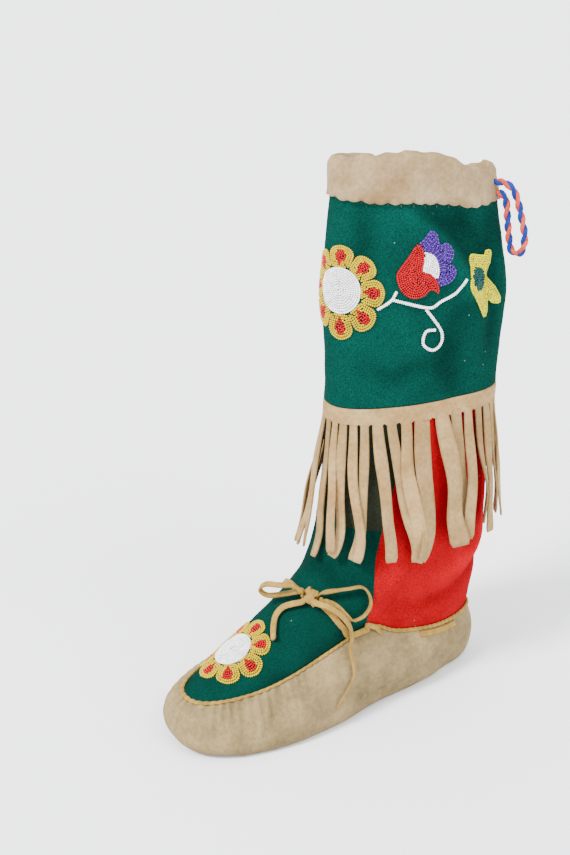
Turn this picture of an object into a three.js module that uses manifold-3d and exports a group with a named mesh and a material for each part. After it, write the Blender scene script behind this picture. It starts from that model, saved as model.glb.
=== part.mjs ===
// A knee-high beaded mukluk boot of wool cloth and hide, standing empty on its sole.
// Millimetres, +Z up. The toe points to -Y and the wearer's left is +X.
// The origin is on the floor at the middle of the heel's flat spot.
//
// One function, bodyPoint, gives the boot's outer surface at an angle round the boot (0 at the
// toe, a quarter turn at the wearer's left) and at a level: 0 is the middle of the sole, 1 the
// edge of its flat, 2 the seam of hide and cloth, 3 the ankle and 4 the top rim.
// The walls are swept between two offsets of that surface, and the beadwork is cut from them.
import * as THREE from 'three';
import { mergeVertices } from 'three/addons/utils/BufferGeometryUtils.js';
import Module from 'manifold-3d';

const wasm = await Module();
wasm.setup();

// Driving dimensions.
const FOOT_LENGTH = 284; // from the heel's bulge to the toe's
const BALL_WIDTH = 110; // widest part of the hide foot
const SEAM_HEIGHT = 58; // top edge of the hide beside the instep
const ANKLE_HEIGHT = 142; // where the instep has become the leg
const RIM_HEIGHT = 405; // top of the cloth shaft, at its middle
const SHAFT_LENGTH = 126; // shaft at the rim, front to back
const SHAFT_WIDTH = 58; // shaft at the rim, side to side
const HEEL_TO_ORIGIN = 42; // from the heel's bulge to the origin
const TOE_SPRING = 4; // lift of the sole's edge at the toe
const ARCH = 2; // lift of the sole at the waist

// Thicknesses and clearances.
const HIDE = 1.8;
const CLOTH = 2.6; // wool shaft with its lining
const CUFF_CLOTH = 2.0; // the beaded band
const FELT = 4.0; // insole
const BEAD = 1.6; // seed beads sewn down
const WELT_WIDTH = 3.6; // folded hide strip sewn into the seam
const WELT_RISE = 1.9;
const THONG = 3.6; // hide lace
const CORD = 5.4; // two-ply wool drawstring
const CLEAR = 0.3;
const INSOLE_INSET = 2; // insole in from the edge of the sole's flat

// Trim on the shaft: heights at the shaft's middle, and sizes down from them.
const FRINGE_LINE = 238; // lower edge of the beaded band
const CASING_DEPTH = 20; // hide casing round the rim, outside
const CASING_LAP = 5; // how far the casing laps over the beaded band
const FRINGE_BAND = 13; // uncut strip over the fringe
const FRINGE_LENGTH = 114; // from the band's top edge to the ends
const FRINGE_STRIPS = 36;

const TURN = 2 * Math.PI;
const UP = new THREE.Vector3(0, 0, 1);
const AROUND = 36; // facets round the boot

const clamp = (value, low, high) => Math.min(high, Math.max(low, value));
const mix = (a, b, share) => a + (b - a) * share;
const steps = (from, to, count) => Array.from({ length: count + 1 }, (_, i) => mix(from, to, i / count));

// A column of a table at a place between its rows, with an even slope through each row.
function column(rows, key, at, name) {
  const last = rows.length - 1;
  let i = 0;
  while (i < last - 1 && at > rows[i + 1][key]) i++;
  const [a, b] = [rows[i], rows[i + 1]];
  const step = b[key] - a[key];
  const slope = (j) => {
    const [p, q] = [rows[Math.max(j - 1, 0)], rows[Math.min(j + 1, last)]];
    return (q[name] - p[name]) / (q[key] - p[key]);
  };
  const t = clamp((at - a[key]) / step, 0, 1);
  const [t2, t3] = [t * t, t * t * t];
  return a[name] * (2 * t3 - 3 * t2 + 1) + b[name] * (3 * t2 - 2 * t3)
    + step * (slope(i) * (t3 - 2 * t2 + t) + slope(i + 1) * (t3 - t2));
}

// Plan outlines of the foot: ends as shares of its length, half widths as shares of half the ball.
const SOLE_EDGE = { front: 0.960, back: 0.034, full: 2.6 };
const SEAM_EDGE = { front: 0.955, back: 0.030, full: 2.4 };
const PLAN_WIDTHS = [
  { along: 0.0, sole: 0.54, seam: 0.68 }, // heel
  { along: 0.25, sole: 0.60, seam: 0.72 },
  { along: 0.45, sole: 0.71, seam: 0.62 }, // waist
  { along: 0.72, sole: 0.89, seam: 0.66 }, // ball
  { along: 1.0, sole: 0.92, seam: 0.66 }, // toe
];
// Height of the seam along the foot, as shares of its height beside the instep.
const SEAM_RISE = [
  { along: 0.0, rise: 0.76 }, // heel
  { along: 0.2, rise: 0.82 },
  { along: 0.30, rise: 0.90 },
  { along: 0.38, rise: 0.99 },
  { along: 0.46, rise: 1.16 }, // side, where vamp, heel panel and hide meet
  { along: 0.58, rise: 1.02 },
  { along: 0.78, rise: 0.73 }, // ball
  { along: 1.0, rise: 0.58 }, // toe
];
// How each meridian leaves the sole, meets the seam and climbs to the ankle: reaches of the
// hide in millimetres, slope of the cloth in degrees, and the curve's pulls as shares of its span.
const MERIDIANS = [
  { turn: 0.0, foot: 15, bulge: 20, tuck: 7, climb: 31, start: 0.42, end: 0.42 }, // toe
  { turn: 0.15, foot: 15, bulge: 21, tuck: 8, climb: 36, start: 0.38, end: 0.38 }, // ball
  { turn: 0.30, foot: 13, bulge: 14, tuck: 10, climb: 58, start: 0.34, end: 0.34 }, // side
  { turn: 0.40, foot: 11, bulge: 9, tuck: 12, climb: 78, start: 0.34, end: 0.34 },
  { turn: 0.5, foot: 10, bulge: 8, tuck: 12, climb: 84, start: 0.34, end: 0.34 }, // heel
];
// The shaft's ovals, as shares of its height above the ankle, of the foot's length to the
// middle, and of the sizes at the rim. Lean lifts the front and drops the back, crest lifts the
// sides, and the slack cloth is turned towards the wearer's right, in degrees.
// The rows go from the ankle, over the fringe's top, to the rim.
const SHAFT = [
  { up: 0, middle: 0.258, length: 1.19, width: 1.42, lean: 0.07, crest: 0, turned: 2, full: 2.1 },
  { up: 0.37, middle: 0.245, length: 1.07, width: 1.1, lean: -0.02, crest: 0, turned: 12, full: 2.3 },
  { up: 0.68, middle: 0.245, length: 1.1, width: 1.08, lean: 0.05, crest: 0.01, turned: 16, full: 2.3 },
  { up: 0.9, middle: 0.257, length: 0.98, width: 1.04, lean: 0.03, crest: -0.02, turned: 16, full: 2.3 },
  { up: 1, middle: 0.266, length: 0.93, width: 1, lean: 0.05, crest: 0, turned: 16, full: 2.3 },
];
const SPRING_FROM = 0.86; // share of the foot's length where the toe spring starts
const ARCH_SPAN = { from: 0.32, to: 0.58 };
const SPINE_DRAW = 0.45; // how far the sole's inner loops draw in along the foot

const superOval = (angle, full) => [Math.cos(angle), Math.sin(angle)]
  .map((value) => Math.sign(value) * Math.abs(value) ** (2 / full));

function soleLift(along) {
  const spring = clamp((along - SPRING_FROM) / (1 - SPRING_FROM), 0, 1) ** 2 * TOE_SPRING;
  const span = clamp((along - ARCH_SPAN.from) / (ARCH_SPAN.to - ARCH_SPAN.from), 0, 1);
  return spring + ARCH * Math.sin(Math.PI * span) ** 2;
}

// A plan outline's share along the foot and its half width, signed to the wearer's left.
function planPlace(edge, widths, angle) {
  const [c, s] = superOval(angle, edge.full);
  const along = (edge.front + edge.back) / 2 + (edge.front - edge.back) / 2 * c;
  return { along, across: s * column(PLAN_WIDTHS, 'along', along, widths) * BALL_WIDTH / 2 };
}

const footY = (along) => HEEL_TO_ORIGIN - along * FOOT_LENGTH;

// The flat of the sole: its loops draw in to a line along the foot.
function solePoint(angle, level = 1) {
  const { along, across } = planPlace(SOLE_EDGE, 'sole', angle);
  const middle = (SOLE_EDGE.front + SOLE_EDGE.back) / 2;
  const drawn = middle + (along - middle) * (1 - (1 - level) * SPINE_DRAW);
  return new THREE.Vector3(across * level, footY(drawn), soleLift(drawn));
}

function seamPoint(angle) {
  const { along, across } = planPlace(SEAM_EDGE, 'seam', angle);
  return new THREE.Vector3(across, footY(along), column(SEAM_RISE, 'along', along, 'rise') * SEAM_HEIGHT);
}

function shaftPoint(angle, up) {
  const at = (name) => column(SHAFT, 'up', up, name);
  const [c, s] = superOval(angle, at('full'));
  const across = new THREE.Vector3(
    at('width') * SHAFT_WIDTH / 2 * s,
    -at('length') * SHAFT_LENGTH / 2 * c,
    mix(ANKLE_HEIGHT, RIM_HEIGHT, up) + (at('lean') * c + at('crest') * s * s) * SHAFT_LENGTH,
  );
  across.applyAxisAngle(UP, -THREE.MathUtils.degToRad(at('turned')));
  across.y += footY(at('middle'));
  return across;
}

function meridian(angle, name) {
  const turn = Math.abs(((angle / TURN) % 1 + 1.5) % 1 - 0.5);
  return column(MERIDIANS, 'turn', turn, name);
}

function bezier(points, t) {
  const weights = [(1 - t) ** 3, 3 * (1 - t) ** 2 * t, 3 * (1 - t) * t * t, t ** 3];
  return points.reduce((sum, p, i) => sum.addScaledVector(p, weights[i]), new THREE.Vector3());
}

// Straight out from the sole's outline, level with the floor.
function outward(angle) {
  const step = 1e-3;
  const edge = solePoint(angle + step).sub(solePoint(angle - step));
  return new THREE.Vector3(edge.y, -edge.x, 0).normalize();
}

// The hide's side, from the sole's edge (0) to the seam (1).
function sidePoint(angle, t) {
  const [foot, seam, out] = [solePoint(angle), seamPoint(angle), outward(angle)];
  const low = foot.clone().addScaledVector(out, meridian(angle, 'foot'));
  const high = seam.clone().addScaledVector(out, meridian(angle, 'bulge'));
  high.z -= meridian(angle, 'tuck');
  return bezier([foot, low, high, seam], t);
}

// The cloth from the seam (0) over vamp and instep, or up the heel, to the ankle (1).
function instepPoint(angle, t) {
  const [seam, ankle] = [seamPoint(angle), shaftPoint(angle, 0)];
  const span = ankle.clone().sub(seam);
  const climb = THREE.MathUtils.degToRad(meridian(angle, 'climb'));
  const start = new THREE.Vector3(span.x, span.y, 0).setLength(Math.cos(climb));
  start.z = Math.sin(climb);
  const rise = shaftPoint(angle, 0.04).sub(ankle).normalize();
  const low = seam.clone().addScaledVector(start, meridian(angle, 'start') * span.length());
  const high = ankle.clone().addScaledVector(rise, -meridian(angle, 'end') * span.length());
  return bezier([seam, low, high, ankle], t);
}

function bodyPoint(angle, level) {
  if (level < 1) return solePoint(angle, level);
  if (level < 2) return sidePoint(angle, level - 1);
  if (level < 3) return instepPoint(angle, level - 2);
  const up = level - 3;
  if (up <= 1) return shaftPoint(angle, up);
  const rim = shaftPoint(angle, 1); // straight on above the rim
  return rim.addScaledVector(UP, (up - 1) * (RIM_HEIGHT - ANKLE_HEIGHT));
}

function bodyNormal(angle, level) {
  const [turned, raised] = [2e-3, 4e-3];
  const round = bodyPoint(angle + turned, level).sub(bodyPoint(angle - turned, level));
  const up = bodyPoint(angle, level + raised).sub(bodyPoint(angle, level - raised));
  return round.cross(up).normalize();
}

const onBody = (angle, at, offset) => bodyPoint(angle, at)
  .addScaledVector(bodyNormal(angle, at), offset);

const levelAt = (height) => 3 + (height - ANKLE_HEIGHT) / (RIM_HEIGHT - ANKLE_HEIGHT);

// Where hide and cloth meet: the way up across the seam, halfway between the two, and out of it.
function seamFrame(angle) {
  const [turned, step] = [2e-3, 2e-3];
  const at = seamPoint(angle);
  const below = at.clone().sub(bodyPoint(angle, 2 - step)).normalize();
  const above = bodyPoint(angle, 2 + step).sub(at).normalize();
  const up = below.add(above).normalize();
  const round = seamPoint(angle + turned).sub(seamPoint(angle - turned));
  return { at, up, out: round.cross(up).normalize() };
}

// The mitre of the two walls: side is -1 for the hide's edge and 1 for the cloth's.
function onMitre(angle, side, offset) {
  const { at, up, out } = seamFrame(angle);
  return at.addScaledVector(out, offset).addScaledVector(up, side * CLEAR / 2);
}

// The level a given way below (negative) or above the seam, in millimetres over the surface.
function levelFromSeam(angle, distance) {
  const step = 0.02 * Math.sign(distance);
  return 2 + step * Math.abs(distance) / bodyPoint(angle, 2 + step).distanceTo(seamPoint(angle));
}

// A closed solid from a list of triangles' corners.
function solidOf(corners) {
  const geometry = new THREE.BufferGeometry();
  const flat = corners.flatMap((p) => [p.x, p.y, p.z]);
  geometry.setAttribute('position', new THREE.Float32BufferAttribute(flat, 3));
  return toSolid(geometry);
}

function toSolid(geometry) {
  const bare = geometry.index ? geometry.toNonIndexed() : geometry.clone();
  bare.deleteAttribute('normal');
  bare.deleteAttribute('uv');
  const merged = mergeVertices(bare, 1e-4);
  return new wasm.Manifold(new wasm.Mesh({
    numProp: 3,
    vertProperties: merged.attributes.position.array,
    triVerts: new Uint32Array(merged.index.array),
  }));
}

// Closed loops of points joined into a closed tube: outside going up, then inside going down.
// Each facet is halved across its short diagonal, so that layers on each other match.
function fromLoops(loops) {
  const corners = [];
  loops.forEach((low, r) => {
    const high = loops[(r + 1) % loops.length];
    low.forEach((a, i) => {
      const next = (i + 1) % low.length;
      const [b, c, d] = [low[next], high[next], high[i]];
      if (a.distanceTo(c) < b.distanceTo(d)) corners.push(a, b, c, a, c, d);
      else corners.push(a, b, d, b, c, d);
    });
  });
  return solidOf(corners);
}

const angles = steps(0, TURN, AROUND).slice(0, -1);
const loop = (level, offset) => angles.map((angle) => onBody(angle, level, offset));
const ring = (profile) => fromLoops(profile.map(([level, offset]) => loop(level, offset)));

// The shaft's layers share their loops' levels, so that their facets lie flat on each other.
const CUFF_FACE = CLEAR + CUFF_CLOTH;
const FRINGE_TOP = FRINGE_LINE - CLEAR;
const level = {
  bandFoot: levelAt(FRINGE_TOP - FRINGE_BAND),
  bandTop: levelAt(FRINGE_TOP),
  cuffFoot: levelAt(FRINGE_LINE),
  casingFoot: levelAt(RIM_HEIGHT - CASING_DEPTH),
  cuffTop: levelAt(RIM_HEIGHT - CASING_DEPTH + CASING_LAP),
  casingStep: levelAt(RIM_HEIGHT - CASING_DEPTH + CASING_LAP + CLEAR),
};
const shaftLevels = [
  3, level.bandFoot, level.bandTop, level.cuffFoot,
  ...steps(level.cuffFoot, level.casingFoot, 3).slice(1),
  level.cuffTop, level.casingStep, 4,
];
const levelsBetween = (from, to) => shaftLevels.filter((at) => at >= from && at <= to);

function band(from, to, inner, outer) {
  const levels = levelsBetween(from, to);
  return ring([
    ...levels.map((at) => [at, outer]),
    ...levels.toReversed().map((at) => [at, inner]),
  ]);
}

// The hide foot: sole and sides in one bowl, open at the seam.
function moccasinBottom() {
  const outside = [];
  const inside = [];
  for (const at of steps(0, 1, 3)) {
    outside.push(angles.map((angle) => solePoint(angle, at)));
    inside.push(angles.map((angle) => solePoint(angle, at).add(new THREE.Vector3(0, 0, HIDE))));
  }
  for (const at of steps(1, 2, 6).slice(1, -1)) {
    outside.push(loop(at, 0));
    inside.push(loop(at, -HIDE));
  }
  outside.push(angles.map((angle) => onMitre(angle, -1, 0)));
  inside.push(angles.map((angle) => onMitre(angle, -1, -HIDE)));
  return fromLoops([...outside, ...inside.reverse()]);
}

const vampLevels = steps(2, 3, 6).slice(0, -1);

// The wool upper: vamp, instep, heel and shaft in one wall, open at the seam and the rim.
function woolUpper() {
  const vamp = vampLevels.slice(1);
  const inShaft = [
    3, level.cuffFoot, ...steps(level.cuffFoot, level.casingFoot, 3).slice(1), level.casingStep, 4,
  ];
  return fromLoops([
    angles.map((angle) => onMitre(angle, 1, 0)),
    ...[...vamp, ...shaftLevels].map((at) => loop(at, 0)),
    ...[...vamp, ...inShaft].toReversed().map((at) => loop(at, -CLOTH)),
    angles.map((angle) => onMitre(angle, 1, -CLOTH)),
  ]);
}

// A felt insole on the flat of the sole.
function insole() {
  const shape = (at, height) => angles.map((angle) => solePoint(angle, at)
    .add(new THREE.Vector3(0, 0, HIDE + CLEAR + height)));
  const levels = steps(0, 1 - INSOLE_INSET / (BALL_WIDTH / 2), 2);
  return fromLoops([
    ...levels.map((at) => shape(at, 0)),
    ...levels.toReversed().map((at) => shape(at, FELT)),
  ]);
}

// A round-backed hide strip along the seam of hide and cloth.
const WELT_SEAT = 0.6; // clear of the facets on both sides of the seam
function seamWelt() {
  const half = WELT_WIDTH / 2;
  const shoulder = 0.65 * WELT_RISE;
  const beside = (side, offset) => angles
    .map((angle) => onBody(angle, levelFromSeam(angle, side * half), offset));
  const above = (offset) => angles.map((angle) => {
    const { at, out } = seamFrame(angle);
    return at.addScaledVector(out, offset);
  });
  return fromLoops([
    beside(-1, WELT_SEAT), beside(-1, shoulder + WELT_SEAT), above(WELT_RISE + WELT_SEAT),
    beside(1, shoulder + WELT_SEAT), beside(1, WELT_SEAT), above(WELT_SEAT),
  ]);
}

// The hide casing, folded over the rim, with its lower edge lapped over the beaded band.
function rimCasing() {
  const top = levelAt(RIM_HEIGHT + CLEAR);
  const crown = levelAt(RIM_HEIGHT + CLEAR + HIDE);
  const lapped = CUFF_FACE + CLEAR;
  const inner = -CLOTH - CLEAR;
  return ring([
    [level.casingFoot, lapped + HIDE],
    [4, lapped + HIDE],
    [crown, lapped * 0.6],
    [crown, inner * 0.5],
    [top, inner - HIDE],
    [level.casingStep, inner - HIDE],
    [level.casingStep, inner],
    [top, inner],
    [top, CLEAR],
    [level.casingStep, CLEAR],
    [level.casingStep, lapped],
    [level.casingFoot, lapped],
  ]);
}

// The fringe: a hide band under the beaded band's lower edge, cut into hanging strips.
const FRINGE_SWAY = [0.0, 0.55, -0.4, 0.2, -0.75, 0.35, 0.9, -0.2, -0.6, 0.65, 0.1, -0.9, 0.45];
const FRINGE_SEAT = 0.8; // the band's back, clear of the shaft
const STRIP_INSET = 0.25; // a strip's root inside the band's faces
const STRIP_WIDTH = 0.88; // as a share of the strips' pitch
const STRIP_LIFT = 4.5; // how far the ends stand off, and every second strip further
const STRIP_OVER = 3;

function fringe() {
  const hideRing = band(level.bandFoot, level.bandTop, FRINGE_SEAT, FRINGE_SEAT + HIDE);
  const strips = Array.from({ length: FRINGE_STRIPS }, (_, k) => fringeStrip(k));
  return strips.reduce((all, strip) => all.add(strip), hideRing);
}

// One strip, from inside the band down along the boot, lifting off and swaying as it falls.
function fringeStrip(k) {
  const sway = FRINGE_SWAY[k % FRINGE_SWAY.length];
  const twist = FRINGE_SWAY[(k * 5 + 3) % FRINGE_SWAY.length];
  const length = FRINGE_LENGTH * (1 + 0.06 * FRINGE_SWAY[(k * 3 + 1) % FRINGE_SWAY.length]);
  const drops = [FRINGE_BAND * 0.6, length * 0.5, length];
  const pitch = TURN / FRINGE_STRIPS;
  const half = bodyPoint((k + 1) * pitch, level.bandTop).distanceTo(bodyPoint(k * pitch, level.bandTop))
    * STRIP_WIDTH / 2;
  const sections = drops.map((drop, r) => {
    const down = (drop - drops[0]) / (length - drops[0]);
    const angle = (k + 0.5) * pitch + 0.5 * pitch * sway * down;
    const at = downTheBoot(angle, level.bandTop, drop);
    const lift = FRINGE_SEAT + STRIP_INSET + (STRIP_LIFT + STRIP_OVER * (k % 2)) * down;
    const out = bodyNormal(angle, at);
    const side = bodyPoint(angle + 0.01, at).sub(bodyPoint(angle - 0.01, at)).normalize();
    side.addScaledVector(out, 0.25 * twist * down).normalize();
    const thickness = r === 0 ? HIDE - 3 * STRIP_INSET : HIDE;
    const middle = onBody(angle, at, lift);
    return [[-half, 0], [half, 0], [half, thickness], [-half, thickness]].map(([across, thick]) => middle
      .clone().addScaledVector(side, across).addScaledVector(out, thick));
  });
  return sweep(sections);
}

// The level reached by going a length down the boot's surface from a level.
function downTheBoot(angle, from, length) {
  const step = 0.02;
  let [at, left] = [from, length];
  for (;;) {
    const run = bodyPoint(angle, at).distanceTo(bodyPoint(angle, at - step));
    if (run >= left) return at - step * left / run;
    at -= step;
    left -= run;
  }
}

// Sections of four or more corners joined into a closed bar.
function sweep(sections) {
  const corners = [];
  const sides = sections[0].length;
  for (let r = 0; r < sections.length - 1; r++) {
    for (let i = 0; i < sides; i++) {
      const [a, b] = [sections[r][i], sections[r][(i + 1) % sides]];
      const [d, c] = [sections[r + 1][i], sections[r + 1][(i + 1) % sides]];
      corners.push(a, c, d, a, b, c);
    }
  }
  const [first, last] = [sections[0], sections.at(-1)];
  for (let i = 1; i < sides - 1; i++) {
    corners.push(first[0], first[i + 1], first[i], last[0], last[i], last[i + 1]);
  }
  return solidOf(corners);
}

// Beadwork. A motif's outlines are lists of [round, up] in millimetres from the flower's middle:
// round the shaft towards the wearer's left, and up it. They cut pads out of a thin layer.
const FLOWER_ROUND = 18; // the cuff flower's middle, from the toe's meridian
const FLOWER_UP = 80; // and above the fringe line
const CHART_HEIGHT = 147; // of the band that the motifs are drawn on
const CUFF_FLOWER = 33; // radius
const VAMP_FLOWER = 31;
const VAMP_MIDDLE = { turn: -0.13, level: 2.25 }; // the vamp flower's middle on the boot
const VAMP_CURVE = 40; // radius of the vamp across, under the flower
const PETALS = 8;
const VINE_WIDTH = 3.2;
const TULIP = [
  [56, 39], [61, 44], [66, 50], [72, 48], [74, 40], [80, 41], [85, 35], [83, 27], [80, 24],
  [84, 24], [87, 18], [84, 11], [79, 8], [75, 7], [74, 3], [72, 1], [70, 3], [66, 3],
  [62, -1], [55, -3], [48, -1], [43, 5], [41, 14], [44, 20], [50, 29],
];
const BLOOM = [
  [98, 12], [98, 5], [101, 0], [108, -9], [112, -17], [115, -18], [118, -12], [119, -5],
  [125, -8], [132, -8], [132, -3], [125, 8], [120, 15], [124, 25], [125, 33], [119, 33],
  [117, 30], [105, 31], [102, 28], [101, 21],
];
const STEM = [[28, -11], [33, -8], [38, -4], [41, 1.5]];
const VINE = [[38, -4], [52, -7], [62, -9], [69, -9], [75, -5], [86, 1], [91, 7], [94.6, 12.6]];
const CURL = [[62, -9], [69, -17], [77, -28], [77, -37], [70, -41], [62, -36], [64, -27], [71, -26]];

// Round the boot: the angle at a length from the toe's meridian, measured at the band's middle.
const ruler = { level: (level.cuffFoot + level.casingFoot) / 2, marks: 180, lengths: [0] };
for (let i = 1; i <= ruler.marks; i++) {
  const [from, to] = [i - 1, i].map((mark) => onBody(Math.PI * mark / ruler.marks, ruler.level, CUFF_FACE));
  ruler.lengths.push(ruler.lengths[i - 1] + from.distanceTo(to));
}
function angleRound(length) {
  const girth = 2 * ruler.lengths.at(-1);
  const way = length - girth * Math.round(length / girth);
  const next = Math.max(1, ruler.lengths.findIndex((mark) => mark >= Math.abs(way)));
  const [a, b] = [ruler.lengths[next - 1], ruler.lengths[next]];
  const mark = next - 1 + (Math.abs(way) - a) / (b - a);
  return Math.sign(way) * Math.PI * mark / ruler.marks;
}

const PAD_SEAT = CUFF_FACE + CLEAR;
const chartRise = (RIM_HEIGHT - CASING_DEPTH - FRINGE_LINE) / CHART_HEIGHT;
const onCuff = ([round, up], offset) => onBody(
  angleRound(FLOWER_ROUND + round),
  levelAt(FRINGE_LINE + (FLOWER_UP + up) * chartRise),
  offset,
);

// A cutter standing across a layer, with its sides square to the surface at each corner. Its ends
// are fans round the outline's middle if it has one, for an outline that wraps round the shaft.
function cutter({ outline, middle }, place, low = -5, high = 9) {
  const flat = outline.map(([x, y]) => new THREE.Vector2(x, y));
  const corners = THREE.ShapeUtils.isClockWise(flat) ? outline.toReversed() : outline;
  const next = (i) => (i + 1) % corners.length;
  const faces = middle
    ? corners.map((_, i) => [i, next(i), corners.length])
    : THREE.ShapeUtils.triangulateShape(corners.map(([x, y]) => new THREE.Vector2(x, y)), []);
  const places = middle ? [...corners, middle] : corners;
  const [under, over] = [low, high].map((offset) => places.map((corner) => place(corner, offset)));
  const triangles = [];
  for (const [a, b, c] of faces) triangles.push(over[a], over[b], over[c], under[a], under[c], under[b]);
  corners.forEach((_, i) => {
    triangles.push(under[i], under[next(i)], over[next(i)], under[i], over[next(i)], over[i]);
  });
  return solidOf(triangles);
}

// A stroke of even width along a line of points, as one outline.
function stroke(points, width) {
  const side = (i) => {
    const [before, after] = [points[Math.max(i - 1, 0)], points[Math.min(i + 1, points.length - 1)]];
    return new THREE.Vector2(before[1] - after[1], after[0] - before[0]).setLength(width / 2);
  };
  const edge = (sign) => points.map(([x, y], i) => [x + sign * side(i).x, y + sign * side(i).y]);
  return [...edge(1), ...edge(-1).reverse()];
}

// A flower of round-ended petals, all in one outline: shares of its radius out and to a side.
const PETAL = [[0.66, -0.273], [0.83, -0.27], [0.98, -0.1], [0.98, 0.1], [0.83, 0.27]];
const flower = (radius) => ({
  outline: steps(0, TURN, PETALS).slice(1).flatMap((turn) => PETAL.map(([out, side]) => [
    radius * (out * Math.cos(turn) - side * Math.sin(turn)),
    radius * (out * Math.sin(turn) + side * Math.cos(turn)),
  ])),
  middle: [0, 0],
});

const cuffLayer = band(level.cuffFoot, level.cuffTop, PAD_SEAT, PAD_SEAT + BEAD);
const cuffFlower = () => cuffLayer.intersect(cutter(flower(CUFF_FLOWER), onCuff, -5, 25));
const sidePad = (side, outline) => cuffLayer.intersect(cutter({
  outline: outline.map(([round, up]) => [side * round, up]),
}, onCuff));

// The vamp's flower is wrapped round the vamp's curve across the foot.
function vampFlower() {
  const levels = vampLevels.slice(0, -1);
  const layer = ring([
    ...levels.map((at) => [at, CLEAR + BEAD]),
    ...levels.toReversed().map((at) => [at, CLEAR]),
  ]);
  const middle = bodyPoint(VAMP_MIDDLE.turn, VAMP_MIDDLE.level);
  const out = bodyNormal(VAMP_MIDDLE.turn, VAMP_MIDDLE.level);
  const across = new THREE.Vector3(1, 0, 0).projectOnPlane(out).normalize();
  const up = out.clone().cross(across);
  const place = ([x, y], offset) => middle.clone().addScaledVector(up, y)
    .addScaledVector(out, (VAMP_CURVE + offset) * Math.cos(x / VAMP_CURVE) - VAMP_CURVE)
    .addScaledVector(across, (VAMP_CURVE + offset) * Math.sin(x / VAMP_CURVE));
  return layer.intersect(cutter(flower(VAMP_FLOWER), place, -14, 14));
}

// The vine: its stem, its run to the bloom, and its curl.
function vine(side) {
  return [STEM, VINE, CURL].map((line) => sidePad(side, stroke(line, VINE_WIDTH)))
    .reduce((all, solid) => all.add(solid));
}

// The lace: a hide thong out of slits under the welt, tied in a bow over the instep.
// Each row is a place on the boot, its angle and level, and how far the thong's middle stands off.
const THONG_WIDTH = 4.6; // where it lies flat
const CORD_SIDES = 8;
const KNOT_GAP = 0.5; // from the knot to a round end of the thong
const CORD_GAP = 0.8; // from the casing to the drawstring's ends
const LACE_SEAT = 1.2; // flat thong, clear of the cloth's facets
const OVER_WELT = WELT_SEAT + WELT_RISE + 1.6;
const INSTEP_LACE = [
  { turn: 1.66, level: 1.90, lift: 0.4 },
  { turn: 1.62, level: 1.97, lift: 2.4 },
  { turn: 1.56, level: 2.03, lift: OVER_WELT },
  { turn: 1.42, level: 2.14, lift: 4.3 },
  { turn: 1.16, level: 2.34, lift: 2.8 },
  { turn: 0.75, level: 2.53, lift: LACE_SEAT },
  { turn: 0.35, level: 2.63, lift: LACE_SEAT },
  { turn: 0.0, level: 2.65, lift: LACE_SEAT },
];
const KNOT = { turn: 0.35, level: 2.63, lift: 7.2, across: 8.5, up: 5.5, out: 3.6 };
const onRow = ({ turn, level: at, lift }) => onBody(turn, at, lift);

// A flat thong over the rows' places.
function thong(rows, count) {
  const chart = new THREE.CatmullRomCurve3(
    rows.map((row) => new THREE.Vector3(row.turn, row.level, row.lift)),
  );
  const places = steps(0, 1, count).map((share) => chart.getPoint(share));
  const points = places.map((at) => onBody(at.x, at.y, at.z));
  const sections = places.map((at, i) => {
    const way = points[Math.min(i + 1, count)].clone().sub(points[Math.max(i - 1, 0)]).normalize();
    const out = bodyNormal(at.x, at.y);
    const side = out.clone().cross(way).normalize().multiplyScalar(THONG_WIDTH / 2);
    return [[-1, 0], [1, 0], [1, HIDE], [-1, HIDE]].map(([across, thick]) => points[i].clone()
      .addScaledVector(side, across).addScaledVector(out, thick));
  });
  return sweep(sections);
}

function instepLace() {
  const other = INSTEP_LACE.slice(0, -1).toReversed().map((row) => ({ ...row, turn: -row.turn }));
  return thong([...INSTEP_LACE, ...other], 22);
}

// The lace's run along the heel, outside the hide under the welt.
const HEEL_LACE = { from: 1.92, to: 2.36 };
function heelLace(side) {
  const below = -(WELT_WIDTH / 2 + CLEAR + 0.4 + THONG_WIDTH / 2);
  const rows = steps(HEEL_LACE.from, HEEL_LACE.to, 4).map((turn) => ({
    turn: side * turn, level: levelFromSeam(turn, below), lift: LACE_SEAT,
  }));
  return thong(rows, 4);
}

// The bow's knot: its way across to the wearer's left, up the boot and out of it.
function knotFrame() {
  const out = bodyNormal(KNOT.turn, KNOT.level);
  const below = bodyPoint(KNOT.turn, KNOT.level - 0.01);
  const up = bodyPoint(KNOT.turn, KNOT.level + 0.01).sub(below).projectOnPlane(out).normalize();
  return { middle: onRow(KNOT), across: up.clone().cross(out), up, out };
}

function laceKnot() {
  const { middle, across, up, out } = knotFrame();
  const ball = new THREE.SphereGeometry(1, 10, 6);
  ball.applyMatrix4(new THREE.Matrix4().makeScale(KNOT.across, KNOT.up, KNOT.out));
  ball.applyMatrix4(new THREE.Matrix4().makeBasis(across, up, out).setPosition(middle));
  return toSolid(ball);
}

// A cord's first two points off the knot, square to it, on the side that faces a point.
function offKnot(toward) {
  const { middle, across, up, out } = knotFrame();
  const way = toward.clone().sub(middle);
  const axes = [[across, KNOT.across], [up, KNOT.up], [out, KNOT.out]];
  const reach = 1 / Math.hypot(...axes.map(([axis, half]) => way.dot(axis) / half));
  const square = new THREE.Vector3();
  for (const [axis, half] of axes) square.addScaledVector(axis, way.dot(axis) / half ** 2);
  square.normalize();
  const foot = middle.addScaledVector(way, reach);
  return [KNOT_GAP, KNOT_GAP + THONG].map((gap) => foot.clone().addScaledVector(square, gap));
}

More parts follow.
